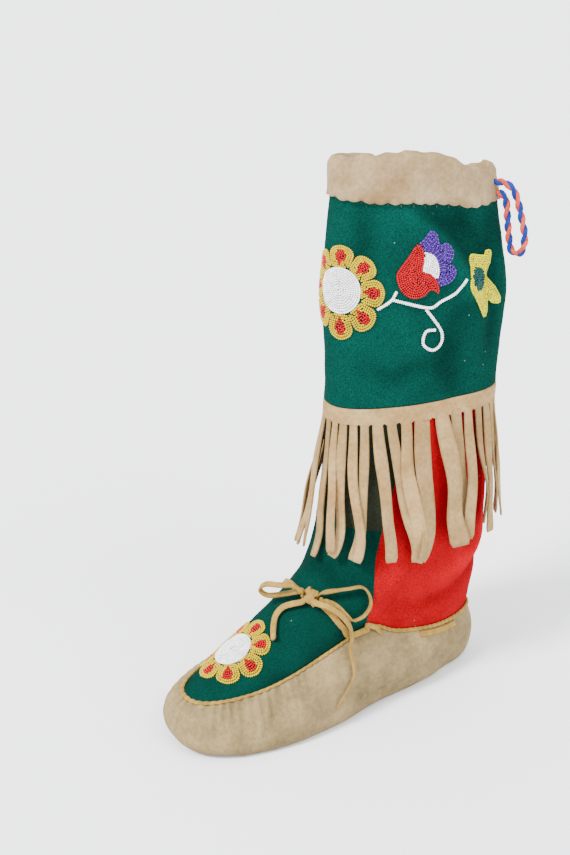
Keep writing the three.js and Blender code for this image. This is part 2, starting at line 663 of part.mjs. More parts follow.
// A round cord along a curve through points.
function tube(points, diameter, count) {
  const section = new THREE.Shape(steps(0, TURN, CORD_SIDES).slice(1)
    .map((turn) => new THREE.Vector2(Math.cos(turn), Math.sin(turn)).multiplyScalar(diameter / 2)));
  const extrudePath = new THREE.CatmullRomCurve3(points);
  return toSolid(new THREE.ExtrudeGeometry(section, { extrudePath, steps: count, bevelEnabled: false }));
}

const BOW_LOOPS = {
  left: [
    { turn: 0.58, level: 2.68, lift: 7.2 },
    { turn: 0.72, level: 2.69, lift: 6 },
    { turn: 0.87, level: 2.69, lift: 5 },
    { turn: 1.03, level: 2.62, lift: 5 },
    { turn: 1.19, level: 2.50, lift: 5 },
    { turn: 1.25, level: 2.40, lift: 5 },
    { turn: 1.14, level: 2.41, lift: 5 },
    { turn: 0.95, level: 2.50, lift: 5.5 },
    { turn: 0.74, level: 2.58, lift: 7 },
  ],
  right: [
    { turn: 0.09, level: 2.65, lift: 14 },
    { turn: -0.04, level: 2.61, lift: 19 },
    { turn: -0.17, level: 2.56, lift: 22 },
    { turn: -0.29, level: 2.51, lift: 18 },
    { turn: -0.25, level: 2.52, lift: 11 },
    { turn: -0.08, level: 2.59, lift: 7 },
    { turn: 0.10, level: 2.635, lift: 6.5 },
  ],
};
const BOW_ENDS = {
  left: [
    { turn: 0.49, level: 2.59, lift: 12.5 },
    { turn: 0.64, level: 2.575, lift: 12.5 },
    { turn: 0.84, level: 2.52, lift: 11 },
    { turn: 1.08, level: 2.41, lift: 10.5 },
    { turn: 1.40, level: 2.16, lift: 8.5 },
    { turn: 1.50, level: 1.88, lift: 5 },
    { turn: 1.49, level: 1.66, lift: 2.8 },
    { turn: 1.44, level: 1.56, lift: 2.8 },
    { turn: 1.38, level: 1.46, lift: 2.8 },
  ],
  right: [
    { turn: 0.14, level: 2.565, lift: 5.5 },
    { turn: 0.04, level: 2.53, lift: 5 },
    { turn: 0.04, level: 2.48, lift: 4 },
    { turn: 0.20, level: 2.42, lift: 4.2 },
    { turn: 0.37, level: 2.36, lift: 4.4 },
  ],
};

function bowLoop(rows) {
  const points = rows.map(onRow);
  return tube([...offKnot(points[0]), ...points, ...offKnot(points.at(-1)).reverse()], THONG, 14);
}

function bowEnd(rows) {
  const points = rows.map(onRow);
  return tube([...offKnot(points[0]), ...points], THONG, 11);
}

// The drawstring's loop, hanging from two holes at the back of the casing.
// Its rows stand out from the back of the boot at a drop below the rim.
const DRAW_TURN = 2.62;
const DRAW_HOLES = { upper: 5.5, lower: 14 }; // drops
const DRAW_LOOP = [
  { out: 7.5, drop: 6.5 }, { out: 13, drop: 12.5 }, { out: 15.5, drop: 23 }, { out: 17, drop: 36 },
  { out: 17.5, drop: 47 }, { out: 13.5, drop: 57 }, { out: 6.5, drop: 56 },
  { out: 5.5, drop: 46 }, { out: 6, drop: 35 }, { out: 6.4, drop: 26 }, { out: 6.2, drop: 18.5 },
];
function drawstringLoop() {
  const face = CUFF_FACE + CLEAR + HIDE;
  const at = ({ out, drop }) => onBody(DRAW_TURN, levelAt(RIM_HEIGHT - drop), face + out);
  const straight = (drop) => [CORD_GAP, CORD_GAP + CORD / 3].map((out) => at({ out, drop }));
  const points = [
    ...straight(DRAW_HOLES.upper), ...DRAW_LOOP.map(at), ...straight(DRAW_HOLES.lower).reverse(),
  ];
  return tube(points, CORD, 22);
}

// Finishes, and the pieces by name.
const finish = (color, roughness) => new THREE.MeshStandardMaterial({ color, roughness, metalness: 0 });
const finishes = {
  smokedHide: finish(0xc4b08c, 0.95),
  fringeHide: finish(0xcbb68e, 0.95),
  laceHide: finish(0xcfae70, 0.85),
  felt: finish(0x6d6a61, 1.0),
  cloth: finish(0x0c5848, 1.0),
  cuffCloth: finish(0x0d5f4e, 0.95),
  flowerBeads: finish(0xe6c02e, 0.35),
  tulipBeads: finish(0xd02438, 0.35),
  bloomBeads: finish(0xf6e21a, 0.35),
  vineBeads: finish(0xf2f2ee, 0.35),
  wool: finish(0x3f63cc, 0.95),
};

const boot = new THREE.Group();
function add(name, solid, material) {
  const mesh = solid.getMesh();
  const geometry = new THREE.BufferGeometry();
  geometry.setAttribute('position', new THREE.BufferAttribute(mesh.vertProperties, 3));
  geometry.setIndex(new THREE.BufferAttribute(mesh.triVerts, 1));
  geometry.computeVertexNormals();
  const piece = new THREE.Mesh(geometry, material);
  piece.name = name;
  boot.add(piece);
}

add('moccasin_bottom', moccasinBottom(), finishes.smokedHide);
add('insole', insole(), finishes.felt);
add('seam_welt', seamWelt(), finishes.laceHide);
add('upper', woolUpper(), finishes.cloth);
add('beaded_band', band(level.cuffFoot, level.cuffTop, CLEAR, CUFF_FACE), finishes.cuffCloth);
add('rim_casing', rimCasing(), finishes.smokedHide);
add('fringe', fringe(), finishes.fringeHide);
add('vamp_flower_beads', vampFlower(), finishes.flowerBeads);
add('cuff_flower_beads', cuffFlower(), finishes.flowerBeads);
for (const [name, side] of [['left', 1], ['right', -1]]) {
  add(`tulip_beads_${name}`, sidePad(side, TULIP), finishes.tulipBeads);
  add(`bloom_beads_${name}`, sidePad(side, BLOOM), finishes.bloomBeads);
  add(`vine_beads_${name}`, vine(side), finishes.vineBeads);
  add(`lace_heel_${name}`, heelLace(side), finishes.laceHide);
}
add('lace_instep', instepLace(), finishes.laceHide);
add('lace_knot', laceKnot(), finishes.laceHide);
for (const name of ['left', 'right']) {
  add(`lace_loop_${name}`, bowLoop(BOW_LOOPS[name]), finishes.laceHide);
  add(`lace_end_${name}`, bowEnd(BOW_ENDS[name]), finishes.laceHide);
}
add('drawstring_loop', drawstringLoop(), finishes.wool);

export default boot;
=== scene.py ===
import math

import bpy
import bmesh
import numpy as np
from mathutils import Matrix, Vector, noise


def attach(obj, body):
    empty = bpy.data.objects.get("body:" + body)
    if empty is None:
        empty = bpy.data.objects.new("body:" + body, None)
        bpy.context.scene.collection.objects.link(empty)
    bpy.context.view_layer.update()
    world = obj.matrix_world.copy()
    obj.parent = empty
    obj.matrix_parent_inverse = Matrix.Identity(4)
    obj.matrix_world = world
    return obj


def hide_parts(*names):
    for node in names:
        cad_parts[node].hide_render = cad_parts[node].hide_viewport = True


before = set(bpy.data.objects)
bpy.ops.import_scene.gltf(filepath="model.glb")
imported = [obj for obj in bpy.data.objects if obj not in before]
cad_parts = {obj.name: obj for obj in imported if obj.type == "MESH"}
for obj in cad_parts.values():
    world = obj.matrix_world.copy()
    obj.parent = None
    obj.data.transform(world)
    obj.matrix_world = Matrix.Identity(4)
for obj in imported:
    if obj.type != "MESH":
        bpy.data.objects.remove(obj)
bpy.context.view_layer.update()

# Camera, floor and light: a bright white studio. The camera stands before the boot, a little to
# the wearer's left and above it, and looks down at it over its toe.
CAMERA_PLACE = (0.67354, -0.58542, 0.528)
CAMERA_ROUND = 56.67  # degrees, 0 looks along +Y
CAMERA_DOWN = 20.3
LENS = 50.526  # on a long side of 36 mm

camera = bpy.data.objects.new("camera", bpy.data.cameras.new("camera"))
bpy.context.scene.collection.objects.link(camera)
camera.location = CAMERA_PLACE
camera.rotation_euler = (math.radians(90 - CAMERA_DOWN), 0, math.radians(CAMERA_ROUND))
camera.data.lens = LENS
camera.data.sensor_width = 36
camera.data.clip_start = 0.02
bpy.context.scene.camera = camera

studio_floor = bpy.data.meshes.new("studio_floor")
studio_floor.from_pydata([(-60, -60, 0), (60, -60, 0), (60, 60, 0), (-60, 60, 0)], [], [(0, 1, 2, 3)])
floor = bpy.data.objects.new("studio_floor", studio_floor)
bpy.context.scene.collection.objects.link(floor)
paper = bpy.data.materials.new("white_paper")
paper.use_nodes = True
paper_shader = paper.node_tree.nodes["Principled BSDF"]
paper_shader.inputs["Base Color"].default_value = (0.90, 0.91, 0.93, 1)
paper_shader.inputs["Roughness"].default_value = 0.85
studio_floor.materials.append(paper)

world = bpy.data.worlds.new("studio")
world.use_nodes = True
world.node_tree.nodes["Background"].inputs["Color"].default_value = (0.97, 0.98, 1.0, 1)
world.node_tree.nodes["Background"].inputs["Strength"].default_value = 2.2
bpy.context.scene.world = world
for lamp_name, power, spread, down, round_ in (
    ("key_lamp", 6.4, 14, 46, 5),
    ("side_lamp", 1.8, 40, 38, 105),
):
    lamp = bpy.data.objects.new(lamp_name, bpy.data.lights.new(lamp_name, "SUN"))
    lamp.data.energy = power
    lamp.data.angle = math.radians(spread)
    lamp.rotation_euler = (math.radians(90 - down), 0, math.radians(round_))
    bpy.context.scene.collection.objects.link(lamp)

# The hide foot: sole and sides in one piece of smoked moose hide, gathered at the toe and sewn
# to the wool. All pieces lie on one boot form: a point has an angle round the boot, 0 at the toe
# and a quarter turn at the wearer's left, and a level, 0 in the middle of the sole, 1 at the
# edge of its flat, 2 at the seam of hide and wool, 3 at the ankle and 4 at the rim.
FOOT_LENGTH = 284  # millimetres, as all sizes on the form
BALL_WIDTH = 110
SEAM_HEIGHT = 58
ANKLE_HEIGHT = 142
RIM_HEIGHT = 405
SHAFT_LENGTH = 126
SHAFT_WIDTH = 58
HEEL_TO_ORIGIN = 42
TOE_SPRING = 4
ARCH = 2
HIDE = 1.8
CLEAR = 0.3
TURN = 2 * math.pi
SOLE_EDGE = dict(front=0.960, back=0.034, full=2.6)
SEAM_EDGE = dict(front=0.955, back=0.030, full=2.4)
PLAN_WIDTHS = [
    dict(along=0.0, sole=0.54, seam=0.68),
    dict(along=0.25, sole=0.60, seam=0.72),
    dict(along=0.45, sole=0.71, seam=0.62),
    dict(along=0.72, sole=0.89, seam=0.66),
    dict(along=1.0, sole=0.92, seam=0.66),
]
SEAM_RISE = [
    dict(along=0.0, rise=0.76),
    dict(along=0.2, rise=0.82),
    dict(along=0.30, rise=0.90),
    dict(along=0.38, rise=0.99),
    dict(along=0.46, rise=1.16),
    dict(along=0.58, rise=1.02),
    dict(along=0.78, rise=0.73),
    dict(along=1.0, rise=0.58),
]
MERIDIANS = [
    dict(turn=0.0, foot=15, bulge=20, tuck=7, climb=31, start=0.42, end=0.42),
    dict(turn=0.15, foot=15, bulge=21, tuck=8, climb=36, start=0.38, end=0.38),
    dict(turn=0.30, foot=13, bulge=14, tuck=10, climb=58, start=0.34, end=0.34),
    dict(turn=0.40, foot=11, bulge=9, tuck=12, climb=78, start=0.34, end=0.34),
    dict(turn=0.5, foot=10, bulge=8, tuck=12, climb=84, start=0.34, end=0.34),
]
SHAFT = [
    dict(up=0.0, middle=0.258, length=1.19, width=1.42, lean=0.07, crest=0, turned=2, full=2.1),
    dict(up=0.37, middle=0.245, length=1.07, width=1.10, lean=-0.02, crest=0, turned=12, full=2.3),
    dict(up=0.68, middle=0.245, length=1.10, width=1.08, lean=0.05, crest=0.01, turned=16, full=2.3),
    dict(up=0.9, middle=0.257, length=0.98, width=1.04, lean=0.03, crest=-0.02, turned=16, full=2.3),
    dict(up=1.0, middle=0.266, length=0.93, width=1.0, lean=0.05, crest=0, turned=16, full=2.3),
]


def column(rows, key, name, at):
    """A column of a table between its rows, with an even slope through each row."""
    x = np.array([row[key] for row in rows], float)
    y = np.array([row[name] for row in rows], float)
    last = len(rows) - 1
    before = np.maximum(np.arange(last + 1) - 1, 0)
    after = np.minimum(np.arange(last + 1) + 1, last)
    slope = (y[after] - y[before]) / (x[after] - x[before])
    at = np.clip(at, x[0], x[-1])
    i = np.clip(np.searchsorted(x, at) - 1, 0, last - 1)
    step = x[i + 1] - x[i]
    t = (at - x[i]) / step
    ease = 3 * t**2 - 2 * t**3
    bend = slope[i] * (t**3 - 2 * t**2 + t) + slope[i + 1] * (t**3 - t**2)
    return y[i] * (1 - ease) + y[i + 1] * ease + step * bend


def super_oval(angle, full):
    c, s = np.cos(angle), np.sin(angle)
    return np.sign(c) * np.abs(c) ** (2 / full), np.sign(s) * np.abs(s) ** (2 / full)


def plan_place(edge, widths, angle):
    c, s = super_oval(angle, edge["full"])
    along = (edge["front"] + edge["back"]) / 2 + (edge["front"] - edge["back"]) / 2 * c
    return along, s * column(PLAN_WIDTHS, "along", widths, along) * BALL_WIDTH / 2


def sole_point(angle, level):
    along, across = plan_place(SOLE_EDGE, "sole", angle)
    middle = (SOLE_EDGE["front"] + SOLE_EDGE["back"]) / 2
    drawn = middle + (along - middle) * (1 - (1 - level) * 0.45)
    spring = np.clip((drawn - 0.86) / 0.14, 0, 1) ** 2 * TOE_SPRING
    arch = ARCH * np.sin(np.pi * np.clip((drawn - 0.32) / 0.26, 0, 1)) ** 2
    return np.stack([across * level, HEEL_TO_ORIGIN - drawn * FOOT_LENGTH, spring + arch], -1)


def seam_point(angle):
    along, across = plan_place(SEAM_EDGE, "seam", angle)
    rise = column(SEAM_RISE, "along", "rise", along) * SEAM_HEIGHT
    return np.stack([across, HEEL_TO_ORIGIN - along * FOOT_LENGTH, rise], -1)


def shaft_point(angle, up):
    at = {name: column(SHAFT, "up", name, up) for name in SHAFT[0] if name != "up"}
    c, s = super_oval(angle, at["full"])
    x = at["width"] * SHAFT_WIDTH / 2 * s
    y = -at["length"] * SHAFT_LENGTH / 2 * c
    z = ANKLE_HEIGHT + (RIM_HEIGHT - ANKLE_HEIGHT) * up
    z = z + (at["lean"] * c + at["crest"] * s * s) * SHAFT_LENGTH
    twist = -np.radians(at["turned"])
    return np.stack([
        x * np.cos(twist) - y * np.sin(twist),
        x * np.sin(twist) + y * np.cos(twist) + HEEL_TO_ORIGIN - at["middle"] * FOOT_LENGTH,
        z,
    ], -1)


def meridian(angle, name):
    turn = np.abs((angle / TURN % 1 + 1.5) % 1 - 0.5)
    return column(MERIDIANS, "turn", name, turn)


def unit(way):
    return way / np.maximum(np.linalg.norm(way, axis=-1, keepdims=True), 1e-12)


def bezier(points, t):
    t = t[..., None]
    a, b, c, d = points
    return a * (1 - t) ** 3 + 3 * b * (1 - t) ** 2 * t + 3 * c * (1 - t) * t**2 + d * t**3


def side_point(angle, t):
    edge = sole_point(angle + 1e-3, 1.0) - sole_point(angle - 1e-3, 1.0)
    out = unit(np.stack([edge[:, 1], -edge[:, 0], 0 * edge[:, 0]], -1))
    foot, seam = sole_point(angle, 1.0), seam_point(angle)
    high = seam + out * meridian(angle, "bulge")[:, None]
    high[:, 2] -= meridian(angle, "tuck")
    return bezier([foot, foot + out * meridian(angle, "foot")[:, None], high, seam], t)


def instep_point(angle, t):
    seam, ankle = seam_point(angle), shaft_point(angle, 0 * angle)
    span = ankle - seam
    reach = np.linalg.norm(span, axis=-1)[:, None]
    climb = np.radians(meridian(angle, "climb"))[:, None]
    flat = unit(span * (1, 1, 0))
    start = flat * np.cos(climb) + np.array([0, 0, 1]) * np.sin(climb)
    rise = unit(shaft_point(angle, 0 * angle + 0.04) - ankle)
    low = seam + start * meridian(angle, "start")[:, None] * reach
    high = ankle - rise * meridian(angle, "end")[:, None] * reach
    return bezier([seam, low, high, ankle], t)


def form_point(angle, level):
    angle, level = np.broadcast_arrays(np.asarray(angle, float), np.asarray(level, float))
    shape = angle.shape
    angle, level = angle.ravel(), level.ravel()
    place = np.zeros((angle.size, 3))
    parts = ((-1, 1, sole_point), (1, 2, side_point), (2, 3, instep_point), (3, 9, shaft_point))
    for low, high, part in parts:
        here = (level >= low) & (level < high)
        if here.any():
            place[here] = part(angle[here], level[here] - (0 if low < 0 else low))
    over = np.maximum(level - 4, 0) * (RIM_HEIGHT - ANKLE_HEIGHT)
    place[:, 2] += over
    return place.reshape(shape + (3,))


def form_normal(angle, level):
    angle, level = np.broadcast_arrays(np.asarray(angle, float), np.asarray(level, float))
    round_ = form_point(angle + 2e-3, level) - form_point(angle - 2e-3, level)
    up = form_point(angle, level + 4e-3) - form_point(angle, level - 4e-3)
    return unit(np.cross(round_, up))


# Creases laid one by one: soft troughs (below 0) and ridges on the hide and on the slack wool.
CREASES = [
    dict(turn=(1.05, 1.02, 0.92), level=(1.98, 1.80, 1.45), width=5, lift=-2.4),
    dict(turn=(0.20, 0.42, 0.66), level=(1.16, 1.12, 1.14), width=4, lift=-2.2),
    dict(turn=(0.16, 0.42, 0.70), level=(1.30, 1.25, 1.27), width=6, lift=1.8),
    dict(turn=(1.50, 1.62, 1.80), level=(1.42, 1.30, 1.22), width=8, lift=-2.3),
    dict(turn=(2.05, 2.15, 2.30), level=(1.75, 1.45, 1.20), width=9, lift=-2.2),
    dict(turn=(-0.9, -1.0, -1.2), level=(1.62, 1.38, 1.20), width=8, lift=-1.4),
    dict(turn=(-2.1, -2.3, -2.4), level=(1.80, 1.50, 1.25), width=9, lift=-1.2),
    dict(turn=(0.55, 0.30, 0.0), level=(2.70, 2.78, 2.80), width=9, lift=-3.0),
    dict(turn=(0.0, -0.35, -0.7), level=(2.80, 2.77, 2.66), width=9, lift=-2.0),
    dict(turn=(1.25, 0.90, 0.55), level=(2.60, 2.68, 2.70), width=7, lift=-1.6),
    dict(turn=(2.80, 2.30, 1.75), level=(2.55, 2.36, 2.22), width=7, lift=-3.0),
    dict(turn=(2.75, 2.25, 1.80), level=(2.80, 2.62, 2.50), width=8, lift=2.4),
    dict(turn=(-2.8, -2.35, -1.8), level=(2.52, 2.40, 2.28), width=8, lift=-1.8),
    dict(turn=(1.05, 1.10, 1.22), level=(2.75, 2.95, 3.12), width=8, lift=-1.8),
    dict(turn=(2.2, 2.1, 2.15), level=(2.70, 2.95, 3.2), width=9, lift=-2.2),
    dict(turn=(-1.2, -1.1, -1.2), level=(2.75, 2.95, 3.2), width=9, lift=-2.0),
    dict(turn=(1.55, 1.85, 2.15), level=(3.90, 3.84, 3.72), width=8, lift=-4.2),
    dict(turn=(1.45, 1.80, 2.20), level=(3.84, 3.76, 3.60), width=8, lift=3.2),
    dict(turn=(2.35, 2.30, 2.40), level=(3.86, 3.70, 3.48), width=10, lift=-4.0),
    dict(turn=(0.75, 0.80, 0.72), level=(3.90, 3.80, 3.70), width=9, lift=-3.0),
    dict(turn=(1.75, 1.70, 1.85), level=(3.55, 3.46, 3.38), width=11, lift=-3.4),
    dict(turn=(0.9, 1.2, 1.5), level=(3.46, 3.44, 3.47), width=9, lift=-2.8),
    dict(turn=(1.80, 2.00, 2.15), level=(3.92, 3.86, 3.80), width=6, lift=-3.0),
    dict(turn=(1.30, 1.50, 1.80), level=(3.90, 3.87, 3.80), width=6, lift=2.0),
    dict(turn=(2.30, 2.10, 1.80), level=(3.72, 3.64, 3.60), width=8, lift=-2.6),
    dict(turn=(-1.9, -1.8, -2.0), level=(3.90, 3.70, 3.45), width=11, lift=-2.2),
    dict(turn=(-0.9, -1.0, -0.85), level=(3.88, 3.70, 3.5), width=10, lift=-1.5),
    dict(turn=(-1.3, -1.6, -1.9), level=(3.55, 3.50, 3.42), width=9, lift=-1.4),
]
for crease in CREASES:
    ways = np.linspace(0, 2, 15)
    places = [np.interp(ways, (0, 1, 2), crease[name]) for name in ("turn", "level")]
    crease["line"] = form_point(*places)
    crease["fade"] = np.sin(np.pi * np.clip(ways / 2 * 0.8 + 0.1, 0, 1)) ** 0.7


def creased(points, level):
    """How far the creases lift a place on the form, none of it at the sole and the seam."""
    lift = np.zeros(len(points))
    for crease in CREASES:
        apart = np.linalg.norm(points[:, None] - crease["line"][None], axis=-1) / crease["width"]
        lift += crease["lift"] * (np.exp(-(apart**2)) * crease["fade"]).max(axis=1)
    kept = np.clip(np.abs(level - 2) / 0.06, 0, 1) * np.clip((level - 1.04) / 0.1, 0, 1)
    return lift * kept


def soft_noise(points, size, seed):
    """Even, soft unevenness from -1 to 1, with lumps of about a size in millimetres."""
    return np.array([noise.noise(Vector(p / size) + Vector((seed, 0.3 * seed, 0))) for p in points])


def laid(angle, level, offset):
    """A place on the creased boot, standing off it by an offset."""
    angle, level, offset = np.broadcast_arrays(
        np.asarray(angle, float), np.asarray(level, float), np.asarray(offset, float))
    shape = angle.shape
    angle, level, offset = angle.ravel(), level.ravel(), offset.ravel()
    points = form_point(angle, level)
    lift = creased(points, level)
    lift += np.clip((level - 2.2) / 0.3, 0, 1) * 1.1 * soft_noise(points, 38, 4.1)
    lift += np.clip((level - 2.1) / 0.2, 0, 1) * 0.5 * soft_noise(points, 16, 9.4)
    return (points + form_normal(angle, level) * (offset + lift)[:, None]).reshape(shape + (3,))


def piece_from(name, points, faces, material, marks=None):
    """A mesh piece from points in millimetres, with its outside out, and marks at its points."""
    mesh = bpy.data.meshes.new(name)
    mesh.from_pydata([tuple(p) for p in np.asarray(points) * 0.001], [], [tuple(f) for f in faces])
    for mark, values in (marks or {}).items():
        held = mesh.attributes.new(mark, "FLOAT", "POINT")
        held.data.foreach_set("value", np.asarray(values, np.float32).ravel())
    shape = bmesh.new()
    shape.from_mesh(mesh)
    bmesh.ops.recalc_face_normals(shape, faces=shape.faces)
    shape.to_mesh(mesh)
    shape.free()
    mesh.polygons.foreach_set("use_smooth", [True] * len(mesh.polygons))
    mesh.materials.append(material)
    piece = bpy.data.objects.new(name, mesh)
    bpy.context.scene.collection.objects.link(piece)
    return piece


def ring_faces(rings, around, closed):
    """Faces of a grid of rings, joined round each ring, and from the last to the first if closed."""
    faces = []
    for r in range(rings if closed else rings - 1):
        low, high = r * around, (r + 1) % rings * around
        for i in range(around):
            after = (i + 1) % around
            faces.append((low + i, low + after, high + after, high + i))
    return faces


def worn_as(piece, nodes):
    """The finished piece stands for its CAD nodes: it hangs under the root and the CAD nodes are hidden."""
    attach(piece, "root")
    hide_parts(*nodes)


def put(tree, kind, at, **settings):
    """A shader node at a column and row, with its properties or its inputs set by name."""
    made = tree.nodes.new(kind)
    made.location = (at[0] * 200, at[1] * -180)
    for name, value in settings.items():
        plain = name.replace("_", " ").title()
        if hasattr(made, name):
            setattr(made, name, value)
        elif plain in made.inputs:
            made.inputs[plain].default_value = value
    return made


def group_of(name, takes, gives):
    """A shader node group with named inputs and outputs."""
    group = bpy.data.node_groups.new(name, "ShaderNodeTree")
    for label, kind, value in takes:
        socket = group.interface.new_socket(label, in_out="INPUT", socket_type=kind)
        if value is not None:
            socket.default_value = value
    for label, kind in gives:
        group.interface.new_socket(label, in_out="OUTPUT", socket_type=kind)
    return group, put(group, "NodeGroupInput", (-4, 0)), put(group, "NodeGroupOutput", (6, 0))


FLOAT, COLOUR, VECTOR = "NodeSocketFloat", "NodeSocketColor", "NodeSocketVector"

# Nap: the fine fuzz of suede and of fulled wool, as a fleck for the colour and a normal.
nap, nap_in, nap_out = group_of(
    "nap",
    [("Vector", VECTOR, None), ("Fine", FLOAT, 1200.0), ("Coarse", FLOAT, 260.0), ("Lift", FLOAT, 0.0003)],
    [("Fleck", FLOAT), ("Normal", VECTOR)],
)
fine = put(nap, "ShaderNodeTexNoise", (-2, -1), detail=3.0, roughness=0.7)
coarse = put(nap, "ShaderNodeTexNoise", (-2, 1), detail=2.0, roughness=0.55)
both = put(nap, "ShaderNodeMath", (0, 0), operation="ADD")
half = put(nap, "ShaderNodeMath", (1, 0), operation="MULTIPLY")
half.inputs[1].default_value = 0.5
raised = put(nap, "ShaderNodeBump", (3, 1), strength=1.0)
nap.links.new(nap_in.outputs["Vector"], fine.inputs["Vector"])
nap.links.new(nap_in.outputs["Vector"], coarse.inputs["Vector"])
nap.links.new(nap_in.outputs["Fine"], fine.inputs["Scale"])
nap.links.new(nap_in.outputs["Coarse"], coarse.inputs["Scale"])
nap.links.new(fine.outputs["Fac"], both.inputs[0])
nap.links.new(coarse.outputs["Fac"], both.inputs[1])
nap.links.new(both.outputs[0], half.inputs[0])
nap.links.new(half.outputs[0], raised.inputs["Height"])
nap.links.new(nap_in.outputs["Lift"], raised.inputs["Distance"])
nap.links.new(half.outputs[0], nap_out.inputs["Fleck"])
nap.links.new(raised.outputs["Normal"], nap_out.inputs["Normal"])

# Mottling: cloudy patches of two tones, flecked by the nap, and darker by a painted mark:
# painted shade in troughs and dips, with some plain darker tone.
mottle, mottle_in, mottle_out = group_of(
    "mottling",
    [("Vector", VECTOR, None), ("Light", COLOUR, None), ("Dark", COLOUR, None), ("Stain", COLOUR, None),
     ("Patches", FLOAT, 30.0), ("Fleck", FLOAT, 0.5), ("Painted_shade_and_tone", FLOAT, 0.0)],
    [("Color", COLOUR)],
)
patches = put(mottle, "ShaderNodeTexNoise", (-2, 0), detail=5.0, roughness=0.62)
spread = put(mottle, "ShaderNodeMapRange", (-1, 0), from_min=0.34, from_max=0.68)
toned = put(mottle, "ShaderNodeMix", (0, 0), data_type="RGBA")
blots = put(mottle, "ShaderNodeTexNoise", (-2, 2), scale=24.0, detail=7.0, roughness=0.72, distortion=0.5)
blot = put(mottle, "ShaderNodeMapRange", (-1, 2), from_min=0.50, from_max=0.72, to_max=0.58)
stained = put(mottle, "ShaderNodeMix", (1, 1), data_type="RGBA")
flecks = put(mottle, "ShaderNodeMapRange", (1, 3), from_min=0.36, from_max=0.64, to_min=0.80, to_max=1.17)
flecked = put(mottle, "ShaderNodeVectorMath", (3, 1), operation="SCALE")
# Painted shade: the colour falls to half where the mark is full.
shade = put(mottle, "ShaderNodeMapRange", (3, 3), to_min=1.0, to_max=0.5)
shaded = put(mottle, "ShaderNodeVectorMath", (4, 1), operation="SCALE")
for source, target in (
    (mottle_in.outputs["Vector"], patches.inputs["Vector"]),
    (mottle_in.outputs["Vector"], blots.inputs["Vector"]),
    (mottle_in.outputs["Patches"], patches.inputs["Scale"]),
    (patches.outputs["Fac"], spread.inputs["Value"]),
    (spread.outputs["Result"], toned.inputs["Factor"]),
    (mottle_in.outputs["Dark"], toned.inputs["A"]),
    (mottle_in.outputs["Light"], toned.inputs["B"]),
    (blots.outputs["Fac"], blot.inputs["Value"]),
    (blot.outputs["Result"], stained.inputs["Factor"]),
    (toned.outputs["Result"], stained.inputs["A"]),
    (mottle_in.outputs["Stain"], stained.inputs["B"]),
    (mottle_in.outputs["Fleck"], flecks.inputs["Value"]),
    (stained.outputs["Result"], flecked.inputs[0]),
    (flecks.outputs["Result"], flecked.inputs["Scale"]),
    (mottle_in.outputs["Painted_shade_and_tone"], shade.inputs["Value"]),
    (flecked.outputs[0], shaded.inputs[0]),
    (shade.outputs["Result"], shaded.inputs["Scale"]),
    (shaded.outputs[0], mottle_out.inputs["Color"]),
):
    mottle.links.new(source, target)


def hide_finish(name, light, dark, stain, rough=0.92, patches=28.0, lift=0.00022):
    """Napped smoked hide: cloudy and stained, and darker where its mesh marks painted shade or plain tone."""
    finish = bpy.data.materials.new(name)
    finish.use_nodes = True
    tree = finish.node_tree
    shader = tree.nodes["Principled BSDF"]
    shader.inputs["Roughness"].default_value = rough
    shader.inputs["Specular IOR Level"].default_value = 0.08
    shader.inputs["Sheen Weight"].default_value = 0.02
    shader.inputs["Sheen Roughness"].default_value = 0.5
    place = put(tree, "ShaderNodeTexCoord", (-6, 0))
    grain = put(tree, "ShaderNodeGroup", (-4, 1), node_tree=nap)
    grain.inputs["Fine"].default_value = 1500.0
    grain.inputs["Coarse"].default_value = 330.0
    grain.inputs["Lift"].default_value = lift
    # The mark read here holds painted shade and some plain darker tone.
    painted_shade_and_tone = put(tree, "ShaderNodeAttribute", (-4, 3), attribute_name="painted_shade_and_tone")
    tones = put(tree, "ShaderNodeGroup", (-2, 0), node_tree=mottle)
    for label, colour in (("Light", light), ("Dark", dark), ("Stain", stain)):
        tones.inputs[label].default_value = (*colour, 1)
    tones.inputs["Patches"].default_value = patches
    tree.links.new(place.outputs["Object"], grain.inputs["Vector"])
    tree.links.new(place.outputs["Object"], tones.inputs["Vector"])
    tree.links.new(grain.outputs["Fleck"], tones.inputs["Fleck"])
    tree.links.new(painted_shade_and_tone.outputs["Fac"], tones.inputs["Painted_shade_and_tone"])
    tree.links.new(tones.outputs["Color"], shader.inputs["Base Color"])
    tree.links.new(grain.outputs["Normal"], shader.inputs["Normal"])
    return finish


HIDE_LIGHT, HIDE_DARK, HIDE_STAIN = (0.262, 0.192, 0.090), (0.165, 0.119, 0.053), (0.082, 0.057, 0.029)
smoked_hide = hide_finish("smoked_hide", HIDE_LIGHT, HIDE_DARK, HIDE_STAIN, patches=42.0)
FOOT_AROUND = 480
foot_angles = np.linspace(0, TURN, FOOT_AROUND, endpoint=False)
seam_line = seam_point(foot_angles)
seam_steps = np.linalg.norm(np.roll(seam_line, -1, 0) - seam_line, axis=1)
seam_run = np.concatenate([[0], np.cumsum(seam_steps)[:-1]])
seam_girth = seam_steps.sum()
seam_run = np.where(seam_run > seam_girth / 2, seam_run - seam_girth, seam_run)


def gathers(level):
    """Puckers of the hide under the seam: deep round the toe, slight along the sides."""
    run = np.abs(seam_run)
    deep = 0.18 + 0.82 * np.clip((105 - run) / 45, 0, 1)
    wander = np.array([noise.noise(Vector((s / 17, 0.7, 0))) for s in seam_run])
    wave = np.sin(TURN * seam_run / 6.6 + 3.2 * wander)
    low = np.clip((level - 1.38 + 0.12 * wander) / 0.5, 0, 1)
    return deep * (0.35 + wander * 0.5 + wave) * low**1.5 * np.clip((2.0 - level) / 0.03, 0.25, 1)


